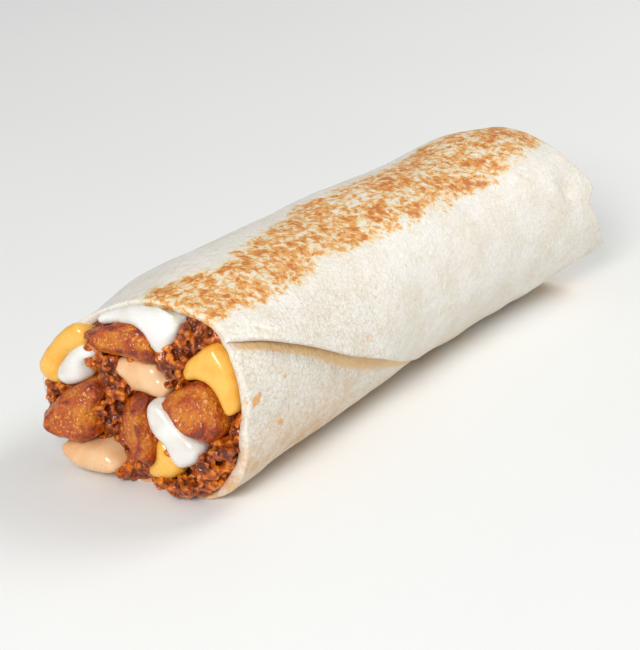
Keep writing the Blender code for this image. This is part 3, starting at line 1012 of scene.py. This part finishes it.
    def fold(self, points: Points) -> Points:
        """Relief of the folds across the tucked end.

        Args:
            points: Places in the roll's frame.

        Returns:
            How far each lies out along X, in mm.
        """
        across = (points[:, 1] + 4.0) * 0.80 + (points[:, 2] - 20.0) * 0.60
        second = (points[:, 1] - 3.0) * 0.75 - (points[:, 2] - 24.0) * 0.66
        relief = 1.3 * ramp(-0.6, 0.6, across) + 0.7 * ramp(-0.5, 0.5, second)
        return relief + 0.3 * self.lumps.at(points + 11.0, 7.0)

    def seam_row(self, x: float) -> Points:
        """Shade under the free edge and just below it.

        Args:
            x: Station.

        Returns:
            Shade of each column, 0 to 1.
        """
        turn, _, layer = self.column_plan()
        _, _, length = ROLL.round_at(x, np.zeros(1))
        below = np.where((layer == 0) & (turn > 0.5), (1 - turn) * length, 99.0)
        wide = 1.8 + 1.9 * float(bell(x, -29.0, 16.0))
        row = np.where(layer >= 1.6, 1.0, 0.84 * ramp(1.3 * wide, 0.75 * wide, below))
        return row * float(ramp(-77.0, -70.0, x) * (1 - ramp(-8.0, 6.0, x)))

    def marks(self, points: Points, outside: Points) -> dict[str, Points]:
        """Griddle marks, spots, a warm tint low on the roll (painted shade and reflected light, and
        a tan edge at the far end) and stains at each point.

        Args:
            points: Places in the roll's frame.
            outside: 1 on the outside, 0 on the inside.

        Returns:
            Named values for the material.
        """
        x, y, z = points.T
        wander = 1.6 * self.lumps.layered(points + 91.0, 9.0)
        near = np.interp(x, *np.array(self.toast_near).T)
        far = np.interp(x, *np.array(self.toast_far).T)
        band = ramp(-3.4, 3.4, y - near + wander) * ramp(-4.4, 4.4, far - y + wander)
        band *= ramp(30.0, 34.0, z) * ramp(-77.5, -71.5, x + 0.6 * wander)
        sole = ramp(5.0, 1.5, z + 0.6 * wander) * ramp(-72.0, -60.0, x)
        heel = ramp(56.0, 66.0, x) * ramp(10.5, 6.5, z + wander) * ramp(-4.0, -14.0, y)
        toast = np.maximum(band, 0.75 * np.maximum(sole, heel)) * outside
        spot = np.zeros(len(points))
        for sx, sy, sz, size, strength in self.spots:
            away = np.linalg.norm((points - [sx, sy, sz]) * [0.7, 1.0, 1.3], axis=1)
            away = away * (1 + 0.8 * self.lumps.at(points, 0.9))
            spot = np.maximum(spot, strength * bell(away, 0.0, size))
        # Warm tint: a tan edge low on the far end, and painted shade with warm reflected light on
        # the underside and the lower near side.
        low_end = bell(x, 68.0, 9.0) * ramp(13.0, 7.0, z + wander) * ramp(0.0, -12.0, y)
        low_side_shade = ramp(24.0, 8.0, z + wander) * ramp(-20.0, -42.0, x) * ramp(0.0, -18.0, y)
        underside_shade = 0.8 * ramp(15.0, 1.0, z) * ramp(50.0, 0.0, x)
        warm_shade_and_tan = np.maximum.reduce([underside_shade, low_end, low_side_shade])
        rim = ramp(ROLL.near + 2.0, ROLL.near - 0.5, x - ROLL.rim_shift(ROLL.near, points[:, 1:]))
        dirty = ramp(0.1, 0.6, self.lumps.layered(points + 5.0, 4.0) + 0.45 * ramp(12.0, 2.0, z))
        mottle = ramp(-14.0, -24.0, y) * ramp(-4.0, -34.0, x)
        stain = rim * dirty * ramp(22.0, 8.0, z) * ramp(-8.0, 2.0, y) + (1 - outside) * 0.3
        return {"toast": toast, "spot": spot * outside, "warm_shade_and_tan": warm_shade_and_tan * outside, "mottle": mottle,
                "stain": np.clip(stain, 0, 1)}

    def build(self) -> bpy.types.Object:
        """Mesh of the whole sheet.

        Returns:
            The dressed object.
        """
        outer, turns = self.outer_rows()
        inner = self.inner_rows()
        wave = self.rim_wave(turns[0]) + self.near_lip * self.near_share(outer[0])
        for number, row in enumerate(outer[:15]):
            row[:, 0] -= wave * float(1 - ramp(0.0, 8.0, number * self.row_step))
        inner[0][:, 0] -= wave * 0.8
        inner[1][:, 0] -= wave * 0.3
        rim = self.rim_rows(outer[0], inner[0])
        ends, tip = self.end_rows(outer[-1], turns[-1])
        closing = np.array([ROLL.hollow_end + 2.6, *ROLL.middle(ROLL.hollow_end)])
        stack = inner[::-1] + rim[::-1] + outer + ends
        points, faces = loft(stack, closing, tip)
        count = len(outer[0])
        hidden = len(inner) * count
        outside = np.ones(len(points))
        outside[:hidden] = 0.0
        outside[-2] = 0.0
        marks = self.marks(points, outside)
        start = (len(inner) + len(rim)) * count
        # Painted shade under the free edge, on the outside's rows only.
        marks["seam"] = np.zeros(len(points))
        stations = np.linspace(ROLL.near, ROLL.end, self.rows)
        marks["seam"][start:start + self.rows * count] = np.concatenate(
            [self.seam_row(float(x)) for x in stations])
        item = put_object("tortilla_sheet", points, faces, marks)
        item.data.materials.append(GriddledSheet().material())
        return item


# The filling


@dataclass(frozen=True)
class Helping:
    """One strand or chunk of filling, drawn where it shows at the open end."""

    node: str
    taste: Taste
    outline: tuple[tuple[float, float], ...]
    front: float
    back: float
    drift: tuple[float, float] = (0.0, 0.0)
    slant: tuple[float, float] = (0.0, 0.0)


HELPINGS = (
    Helping("potato_1", Taste.POTATO,
            ((10.6, 29.3), (12.6, 30.4), (13.7, 33.2), (10.6, 35.0), (7.3, 36.6), (2.8, 37.1),
             (1.8, 36.4), (-0.5, 35.8), (-1.9, 32.8), (-4.2, 30.5), (-3.0, 29.3)), 4.8, -56.0,
             (1.2, 1.5), (-0.1, 0.25)),
    Helping("potato_2", Taste.POTATO,
            ((21.5, 8.9), (22.9, 10.3), (22.9, 13.4), (19.0, 19.2), (15.7, 20.9), (12.4, 21.8),
             (10.6, 21.0), (9.9, 19.0), (10.4, 17.4), (11.2, 15.2), (10.5, 11.6), (11.0, 9.5),
             (13.0, 8.3), (18.6, 8.1)), 7.4, -58.0, (0.2, 0.0), (-0.25, 0.2)),
    Helping("potato_3", Taste.POTATO,
            ((3.5, 9.4), (4.3, 11.3), (4.8, 18.7), (3.1, 20.7), (1.2, 21.6), (-1.1, 21.4),
             (-1.9, 20.8), (-1.6, 19.5), (-3.9, 12.3), (-3.8, 6.5), (-2.3, 5.9)), 5.0, -55.0,
             (0.0, -0.4), (0.25, 0.05)),
    Helping("potato_4", Taste.POTATO,
            ((-14.3, 15.8), (-11.4, 17.4), (-5.8, 21.9), (-7.1, 23.7), (-11.6, 26.9),
             (-13.8, 27.8), (-15.7, 27.4), (-17.8, 25.8), (-19.8, 22.4), (-20.3, 20.3),
             (-20.4, 17.8), (-19.8, 16.2), (-18.6, 15.4), (-16.5, 15.2)), 5.5, -54.0, (0.0, 0.2),
             (-0.1, 0.25)),
    Helping("sour_cream_1", Taste.SOUR_CREAM,
            ((-2.3, 33.2), (-0.9, 36.4), (1.5, 37.0), (2.4, 37.7), (7.2, 37.2), (11.2, 35.6),
             (12.2, 36.8), (11.2, 38.6), (4.6, 41.6), (-0.9, 43.0), (-5.6, 42.9), (-9.0, 39.9),
             (-5.1, 32.6), (-3.8, 31.9)), 2.6, 48.0),
    Helping("sour_cream_2", Taste.SOUR_CREAM,
            ((22.2, 21.9), (20.3, 25.2), (16.5, 29.3), (13.0, 29.3), (13.0, 28.6), (16.2, 25.7),
             (16.4, 23.9), (15.7, 22.2), (20.0, 20.0)), 3.0, 46.0),
    Helping("sour_cream_3", Taste.SOUR_CREAM,
            ((-6.9, 12.3), (-3.8, 14.6), (-2.2, 19.5), (-2.7, 21.1), (-4.5, 21.5), (-7.0, 20.0),
             (-10.0, 16.9), (-15.2, 14.1), (-15.6, 12.2), (-14.7, 9.9), (-12.4, 8.1),
             (-10.3, 7.6)), 4.0, 44.0),
    Helping("cheese_sauce_1", Taste.CHEESE,
            ((25.2, 19.8), (27.3, 21.4), (26.8, 24.4), (22.8, 30.4), (19.2, 33.8), (17.0, 34.5),
             (15.1, 32.4), (14.9, 30.4), (16.8, 29.8), (18.2, 28.3), (20.4, 27.1), (22.3, 24.7),
             (22.8, 21.9), (21.6, 20.3), (23.2, 19.3)), 2.6, 50.0),
    Helping("cheese_sauce_2", Taste.CHEESE,
            ((-20.7, 22.2), (-18.6, 26.1), (-16.3, 28.1), (-13.9, 28.6), (-10.9, 27.3),
             (-9.8, 28.4), (-10.4, 31.4), (-16.4, 37.3), (-18.8, 35.9), (-20.9, 33.8),
             (-22.1, 31.9), (-23.2, 28.4), (-23.7, 23.0), (-21.4, 21.3)), 2.4, 50.0),
    Helping("cheese_sauce_3", Taste.CHEESE,
            ((-2.1, 4.7), (-2.5, 5.4), (-4.4, 6.3), (-4.4, 12.5), (-4.9, 12.9), (-6.5, 11.8),
             (-10.2, 6.6), (-9.3, 4.7), (-6.3, 3.6), (-2.9, 3.3)), 2.8, 42.0),
    Helping("spicy_sauce_1", Taste.SPICY,
            ((3.8, 22.7), (8.1, 25.9), (6.5, 28.4), (-2.4, 28.7), (-3.4, 27.3), (-3.5, 25.5),
             (-6.4, 26.0), (-7.4, 25.1), (-5.1, 22.0), (-2.2, 21.4), (-1.2, 22.0), (1.3, 22.1),
             (3.6, 21.2)), 1.8, 46.0),
    Helping("spicy_sauce_2", Taste.SPICY,
            ((19.0, 4.9), (19.0, 6.2), (18.0, 7.1), (12.2, 7.4), (9.7, 8.2), (7.3, 7.9),
             (5.0, 6.5), (3.8, 5.0), (4.3, 3.4), (7.1, 2.3), (14.0, 1.9)), 6.0, 42.0),
)


@dataclass
class Stuffing:
    """Lofts the strands and chunks so that they follow the wall of the roll."""

    clearance: float = -0.5
    overhang: float = 1.3
    neck: float = 0.6
    room_stations: tuple[float, ...] = (-75.0, -69.0, -58.0, -44.0, -28.0, -8.0, 14.0, 36.0,
                                        56.0)

    def room(self, x: float) -> tuple[Points, Points]:
        """Polar outline of the room inside the sheet.

        Args:
            x: Station.

        Returns:
            Angles in rising order, and radii.
        """
        inset = ROLL.wall + self.clearance
        curve = ROLL.section(x, 480)
        loop = curve - ROLL.outward(curve) * inset
        loop[:, 1] = np.maximum(loop[:, 1], inset)
        rel = loop - ROLL.middle(x)
        angle = np.arctan2(rel[:, 1], rel[:, 0])
        order = np.argsort(angle)
        return angle[order], np.linalg.norm(rel, axis=1)[order]

    def carry(self, points: Points, x: float) -> Points:
        """Carry rim points to a station.

        Args:
            points: Points at the rim, as (y, z).
            x: Station.

        Returns:
            The points there.
        """
        start = max(x, ROLL.near)
        rel = points - ROLL.middle(ROLL.near)
        angle = np.arctan2(rel[:, 1], rel[:, 0])
        reach = np.linalg.norm(rel, axis=1)
        at_rim = np.interp(angle, *self.room(ROLL.near), period=2 * math.pi)
        if x > ROLL.near - self.overhang:
            reach = np.minimum(reach, at_rim)
        reach = reach * np.interp(angle, *self.room(start), period=2 * math.pi) / at_rim
        turned = np.column_stack([np.cos(angle), np.sin(angle)])
        return ROLL.middle(start) + turned * reach[:, None]

    @staticmethod
    def grown(outline: tuple[tuple[float, float], ...] | Points, by: float) -> Points:
        """Outline moved outward.

        Args:
            outline: Points as (y, z), either way round.
            by: How far, in mm.

        Returns:
            The new outline.
        """
        loop = np.array(outline, float)
        run = np.roll(loop, -1, axis=0) - loop
        if np.sum(run[:, 0] * (loop[:, 1] + run[:, 1] / 2)) < 0:
            loop = loop[::-1]
        return loop + ROLL.outward(loop) * by

    @staticmethod
    def rounded(outline: Points, steps: int) -> Points:
        """Smooth closed curve through an outline's points.

        Args:
            outline: Points as (y, z).
            steps: Points of the curve for each of the outline.

        Returns:
            The curve.
        """
        before, after = np.roll(outline, 1, axis=0), np.roll(outline, -1, axis=0)
        second = np.roll(outline, -2, axis=0)
        out = []
        for u in np.arange(steps) / steps:
            out.append(0.5 * (2 * outline + (after - before) * u
                              + (2 * before - 5 * outline + 4 * after - second) * u**2
                              + (3 * outline - before - 3 * after + second) * u**3))
        return np.stack(out, axis=1).reshape(-1, 2)

    def strand_rows(self, item: Helping) -> list[Points]:
        """Skeleton of a soft strand.

        Args:
            item: The strand.

        Returns:
            Loops in space, from its front to its back.
        """
        nose = [(ROLL.near - item.front, 0.75, 1.0), (ROLL.near - item.front * 0.86, 0.35, 0.86),
                (ROLL.near - item.front * 0.5, 0.1, 0.5), (ROLL.near - self.neck, 0.0, 0.0)]
        run = [(x, 0.0, 0.0) for x in self.room_stations[1:] if x < item.back - 6.0]
        rows = []
        for x, inset, lean in nose + run + [(item.back - 1.0, 0.2, 0.0), (item.back, 0.6, 0.0)]:
            loop = self.rounded(self.grown(item.outline, -inset), 3)
            ring = self.carry(loop, x) + np.array(item.drift) * lean
            rows.append(ROLL.in_space(x, ring))
        return rows

    def chunk_rows(self, item: Helping) -> list[Points]:
        """Skeleton of a crisp chunk.

        Args:
            item: The chunk.

        Returns:
            Loops in space, from its front to its back.
        """
        tip = ROLL.near - item.front
        shoulder = min(tip + 4.4, ROLL.near - 1.6)
        plan = ((tip, 0.62, 1.0), (tip + 2.4, 0.95, 0.5), (shoulder, 1.0, 0.2),
                (ROLL.near - self.neck, 1.0, 0.0), (item.back - 7.0, 1.0, 0.0),
                (item.back - 2.0, 0.85, 0.0), (item.back, 0.5, 0.0))
        rows = []
        for x, size, lean in plan:
            loop = self.grown(item.outline, 0.0)
            middle = loop.mean(axis=0)
            ring = self.carry(middle + (loop - middle) * size, x) + np.array(item.drift) * lean
            cut = (ring - ring.mean(axis=0)) @ np.array(item.slant) * lean
            rows.append(ROLL.in_space(x, ring, cut))
        return rows


@dataclass
class SauceStrand:
    """A strand of cream, cheese or sauce with a soft, drooping front."""

    item: Helping
    finish: bpy.types.Material
    voxel: float = 0.5
    soften: int = 34
    droop: float = 0.22
    full: tuple[tuple[str, float], ...] = (
        ("sour_cream_1", 0.5), ("sour_cream_2", 1.1), ("sour_cream_3", 0.6),
        ("cheese_sauce_1", 1.1), ("cheese_sauce_2", 0.5), ("cheese_sauce_3", 0.8),
        ("spicy_sauce_1", 0.6), ("spicy_sauce_2", 0.5),
    )

    def build(self) -> bpy.types.Object:
        """Mesh of the strand.

        Returns:
            The dressed object.
        """
        rows = Stuffing().strand_rows(self.item)
        points, faces, web, normals = softened(rows, self.voxel, self.soften)
        sag = Unevenness(len(self.item.outline) * 7 + ord(self.item.node[-1]))
        front = ramp(ROLL.near + 4.0, ROLL.near - 1.0, points[:, 0])
        out = self.droop * sag.at(points, 5.0) + dict(self.full)[self.item.node]
        points = web.smoothed(points + normals * (out * front)[:, None], 4)
        piece = put_object(self.item.node + "_strand", points, faces)
        piece.data.materials.append(self.finish)
        return piece


@dataclass
class PotatoChunk:
    """A chunk of fried potato with a rough crust and crisp edges."""

    item: Helping
    finish: bpy.types.Material
    voxel: float = 0.28
    soften: int = 6
    rounding: int = 110

    def build(self) -> bpy.types.Object:
        """Mesh of the chunk.

        Returns:
            The dressed object.
        """
        rows = Stuffing().chunk_rows(self.item)
        points, faces, web, normals = softened(rows, self.voxel, self.soften)
        crust = Unevenness(40 + ord(self.item.node[-1]))
        edge = ((points - web.smoothed(points, self.rounding)) * normals).sum(axis=1)
        out = 0.34 * crust.at(points, 4.5) + 0.16 * crust.at(points + 5.0, 1.6)
        out += 0.10 * crust.layered(points + 25.0, 0.8, 2) + 0.2 * np.clip(edge, 0.0, 0.6)
        marks = {"edge": np.clip(edge / 0.5, -0.5, 1.0)}
        piece = put_object(self.item.node + "_chunk", points + normals * out[:, None], faces,
                           marks)
        piece.data.materials.append(self.finish)
        return piece


@dataclass
class GroundBeef:
    """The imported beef: a plain core, and the crumbs that show at the open end."""

    spacing: float = 1.5
    radius: tuple[float, float] = (0.7, 1.4)
    out: tuple[float, float] = (-0.6, 0.6)
    clump: float = 3.0
    clump_size: float = 3.4
    layers: tuple[float, ...] = (0.0, 1.0, 2.0)
    voxel: float = 0.28
    gap: float = 0.1
    core_back: float = 1.6
    seed: int = 17
    bumps: Unevenness = field(default_factory=lambda: Unevenness(29))

    @staticmethod
    def away(outline: Points, places: Points) -> Points:
        """Distances from a closed outline.

        Args:
            outline: Points as (y, z).
            places: Points as (y, z).

        Returns:
            A distance for each place, negative inside.
        """
        a = np.array(outline, float)
        b = np.roll(a, -1, axis=0)
        run = b - a
        gap = np.full(len(places), 1e9)
        odd = np.zeros(len(places), bool)
        for p, q, r in zip(a, b, run):
            t = np.clip(((places - p) @ r) / (r @ r), 0, 1)
            gap = np.minimum(gap, np.linalg.norm(p + r * t[:, None] - places, axis=1))
            cross = (p[1] > places[:, 1]) != (q[1] > places[:, 1])
            slope = r[0] / r[1] if r[1] else 0.0
            odd ^= cross & (p[0] + (places[:, 1] - p[1]) * slope > places[:, 0])
        return np.where(odd, -gap, gap)

    def core(self) -> tuple[Points, Faces]:
        """Plain mass behind the crumbs.

        Returns:
            The points and the faces.
        """
        inset = ROLL.wall + self.gap
        shares = np.linspace(0.0, 1.0, 72, endpoint=False)
        rows = []
        for x in Stuffing().room_stations:
            places, normals, _ = ROLL.round_at(x, shares)
            row = ROLL.in_space(x, places - normals * inset)
            row[:, 0] += self.core_back if x == ROLL.near else 0.0
            row[:, 2] = np.maximum(row[:, 2], inset)
            rows.append(row)
        return loft(rows, rows[0].mean(axis=0), rows[-1].mean(axis=0))

    def places(self, rng: np.random.Generator) -> Points:
        """Scatter the crumbs over the open face.

        Args:
            rng: Random numbers.

        Returns:
            Rows of y, z, radius and how far out.
        """
        grid = [(y + (n % 2) * self.spacing / 2, z)
                for n, z in enumerate(np.arange(1.5, 44.0, self.spacing * 0.87))
                for y in np.arange(-28.0, 28.0, self.spacing)]
        spots = np.array(grid) + rng.uniform(-0.55, 0.55, (len(grid), 2))
        size = rng.uniform(*self.radius, len(spots))
        out = rng.uniform(*self.out, len(spots))
        flat = np.column_stack([np.zeros(len(spots)), spots])
        out += self.clump * (0.3 + self.bumps.at(flat, self.clump_size))
        out += 1.2 * ramp(-4.0, -12.0, spots[:, 0]) * ramp(22.0, 12.0, spots[:, 1])
        curve = ROLL.section(ROLL.near)
        sides = ROLL.outward(curve)
        wall = 1.1 + 1.7 * ramp(0.2, 0.9, -sides[:, 0])
        keep = self.away(curve - sides * wall[:, None], spots) < -size * 0.4
        for item in HELPINGS:
            keep &= self.away(item.outline, spots) > 0.3 * size
        return np.column_stack([spots, size, out])[keep]

    def crumb(self, middle: Points, radius: float, rng: np.random.Generator
              ) -> tuple[Points, Faces]:
        """One uneven crumb.

        Args:
            middle: Its middle.
            radius: Its radius in mm.
            rng: Random numbers.

        Returns:
            The points and the faces.
        """
        ball = bmesh.new()
        bmesh.ops.create_icosphere(ball, subdivisions=2, radius=1.0)
        unit = np.array([tuple(v.co) for v in ball.verts])
        faces = [tuple(v.index for v in f.verts) for f in ball.faces]
        ball.free()
        squash = rng.uniform(0.7, 1.3, 3)
        here = rng.uniform(0, 60, 3)
        out = 1.0 + 0.4 * self.bumps.at(unit * radius + here, 0.8)
        return unit * squash * radius * out[:, None] + middle, faces

    def crumbs(self) -> tuple[Points, Faces]:
        """All crumbs at the open end, stuck together by their fat.

        Returns:
            The points and the faces.
        """
        rng = np.random.default_rng(self.seed)
        parts: list[Points] = []
        faces: Faces = []
        base = 0
        for y, z, size, out in self.places(rng):
            lean = float(ROLL.rim_shift(ROLL.near, np.array([[y, z]]))[0])
            for depth in self.layers:
                jitter = rng.uniform(-0.5, 0.5, 3)
                middle = np.array([ROLL.near + lean - out + 0.6 + depth, y, z]) + jitter
                crumb, corners = self.crumb(middle, size, rng)
                parts.append(crumb)
                faces += [tuple(base + i for i in corner) for corner in corners]
                base += len(crumb)
        return remeshed(np.concatenate(parts), faces, self.voxel)

    def build(self) -> bpy.types.Object:
        """Mesh of the core and all crumbs.

        Returns:
            The dressed object.
        """
        points, faces = self.crumbs()
        web = Weave(len(points), faces)
        points = web.smoothed(points, 7)
        normals = web.normals(points)
        rough = 0.42 * self.bumps.at(points, 1.5) + 0.26 * self.bumps.at(points + 20.0, 0.8)
        points = points + normals * rough[:, None]
        knob = ((points - web.smoothed(points, 14)) * normals).sum(axis=1)
        points[:, 2] = np.maximum(points[:, 2], 0.1)
        # Tone: random tone, plus painted shade in the hollows and painted light on the knobs; the
        # core behind the crumbs is painted dark as shade.
        tone_and_shade = 0.2 + 0.4 * self.bumps.at(points + 40.0, 2.6) + np.clip(knob / 0.5, -0.5, 0.45)
        core, sides = self.core()
        faces += [tuple(len(points) + i for i in side) for side in sides]
        marks = {"tone_and_shade": np.concatenate([tone_and_shade, np.full(len(core), 0.05)])}
        item = put_object("ground_beef", np.vstack([points, core]), faces, marks)
        item.data.materials.append(SeasonedBeef().material())
        return item


# Light, floor and camera


@dataclass
class Studio:
    """Pale table, soft light and the camera."""

    target: tuple[float, float, float] = (0.0, 0.0, 22.0)
    elevation: float = 24.0
    heading: float = 37.0
    distance: float = 537.0
    focal_pixels: float = 2200.0
    frame_pixels: tuple[int, int] = (640, 650)
    target_pixel: tuple[float, float] = (353.0, 280.0)
    table: Colour = paint(240, 241, 239)
    table_cloud: Colour = paint(225, 226, 224)
    sky: Colour = paint(247, 249, 252)
    sky_strength: float = 0.42

    def place(self, *point: float) -> Vector:
        """A place in the roll's frame, in metres in the part's frame."""
        return Vector((np.array(point) + ROLL_TO_PART) * MM)

    def camera(self) -> None:
        """Camera at the photograph's viewing angle."""
        turn, tilt = math.radians(self.heading), math.radians(self.elevation)
        ahead = Vector((math.cos(turn) * math.cos(tilt), math.sin(turn) * math.cos(tilt),
                        -math.sin(tilt)))
        data = bpy.data.cameras.new("camera")
        data.sensor_fit = "HORIZONTAL"
        data.sensor_width = 36.0
        wide, high = self.frame_pixels
        data.lens = self.focal_pixels / wide * data.sensor_width
        data.shift_x = (wide / 2 - self.target_pixel[0]) / wide
        data.shift_y = (self.target_pixel[1] - high / 2) / wide
        data.clip_start = 0.01
        data.clip_end = 20.0
        item = bpy.data.objects.new("camera", data)
        item.location = self.place(*self.target) - ahead * self.distance * MM
        item.rotation_euler = ahead.to_track_quat("-Z", "Y").to_euler()
        bpy.context.scene.collection.objects.link(item)
        bpy.context.scene.camera = item

    def lamp(self, name: str, direction: tuple[float, float, float], distance: float,
             size: float, power: float, colour: Colour) -> None:
        """Soft square light that faces the burrito.

        Args:
            name: The light's name.
            direction: From the burrito towards the light.
            distance: How far away, in mm.
            size: Side in mm.
            power: Watts.
            colour: Its colour.
        """
        data = bpy.data.lights.new(name, "AREA")
        data.shape = "SQUARE"
        data.size = size * MM
        data.energy = power
        data.color = colour
        item = bpy.data.objects.new(name, data)
        towards = Vector(direction).normalized()
        item.location = self.place(*self.target) + towards * distance * MM
        item.rotation_euler = (-towards).to_track_quat("-Z", "Y").to_euler()
        bpy.context.scene.collection.objects.link(item)

    def floor(self) -> None:
        """Plain pale floor."""
        mesh = bpy.data.meshes.new("floor")
        side = 3.0
        corners = [(-side, -side, 0.0), (side, -side, 0.0), (side, side, 0.0), (-side, side, 0.0)]
        mesh.from_pydata(corners, [], [(0, 1, 2, 3)])
        item = bpy.data.objects.new("floor", mesh)
        bpy.context.scene.collection.objects.link(item)
        make = Dressing("table")
        tint = make.step(make.noise(60.0, 2.0), 0.3, 0.7, 0.0, 0.06)
        colour = make.blend(tint, self.table, self.table_cloud)
        item.data.materials.append(make.finish(colour, 0.6, None, Specular_IOR_Level=0.2))

    def build(self) -> None:
        """Floor, sky, lights and camera."""
        self.floor()
        world = bpy.data.worlds.new("soft_sky")
        world.use_nodes = True
        sky = world.node_tree.nodes["Background"]
        sky.inputs["Color"].default_value = (*self.sky, 1.0)
        sky.inputs["Strength"].default_value = self.sky_strength
        bpy.context.scene.world = world
        self.lamp("key", (0.73, -0.30, 0.78), 900.0, 380.0, 3.4, (1.0, 0.98, 0.95))
        self.lamp("fill", (-0.88, -0.34, 0.60), 900.0, 300.0, 5.3, (1.0, 0.99, 0.98))
        self.camera()
        bpy.context.scene.view_settings.view_transform = "Standard"


def filling_finishes() -> dict[Taste, bpy.types.Material]:
    """One finish for each kind of sauce, and the potato's."""
    return {
        Taste.SOUR_CREAM: SmoothSauce("sour_cream", paint(235, 235, 231), paint(222, 219, 211),
                                      None, 0.26).material(),
        Taste.CHEESE: SmoothSauce("cheese_sauce", paint(243, 188, 84), paint(240, 175, 62),
                                  None, 0.24).material(),
        Taste.SPICY: SmoothSauce("spicy_sauce", paint(236, 196, 150), paint(230, 180, 128),
                                 paint(196, 92, 40), 0.26).material(),
        Taste.POTATO: CrispPotato().material(),
    }


def main() -> None:
    """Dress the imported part, light it and look at it."""
    logging.basicConfig(level=logging.INFO, format="%(name)s: %(message)s")
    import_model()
    pieces = [(Tortilla().build(), "tortilla", "tortilla"),
              (GroundBeef().build(), "beef", "beef")]
    finishes = filling_finishes()
    for item in HELPINGS:
        maker = PotatoChunk if item.taste is Taste.POTATO else SauceStrand
        pieces.append((maker(item, finishes[item.taste]).build(), item.node, item.taste.value))
    for piece, node, slot in pieces:
        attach(piece, "root")
        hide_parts(node)
        LOG.info("%s stands for %s with %d faces", piece.name, node, len(piece.data.polygons))
    Studio().build()
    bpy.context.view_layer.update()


if __name__ == "__main__":
    main()
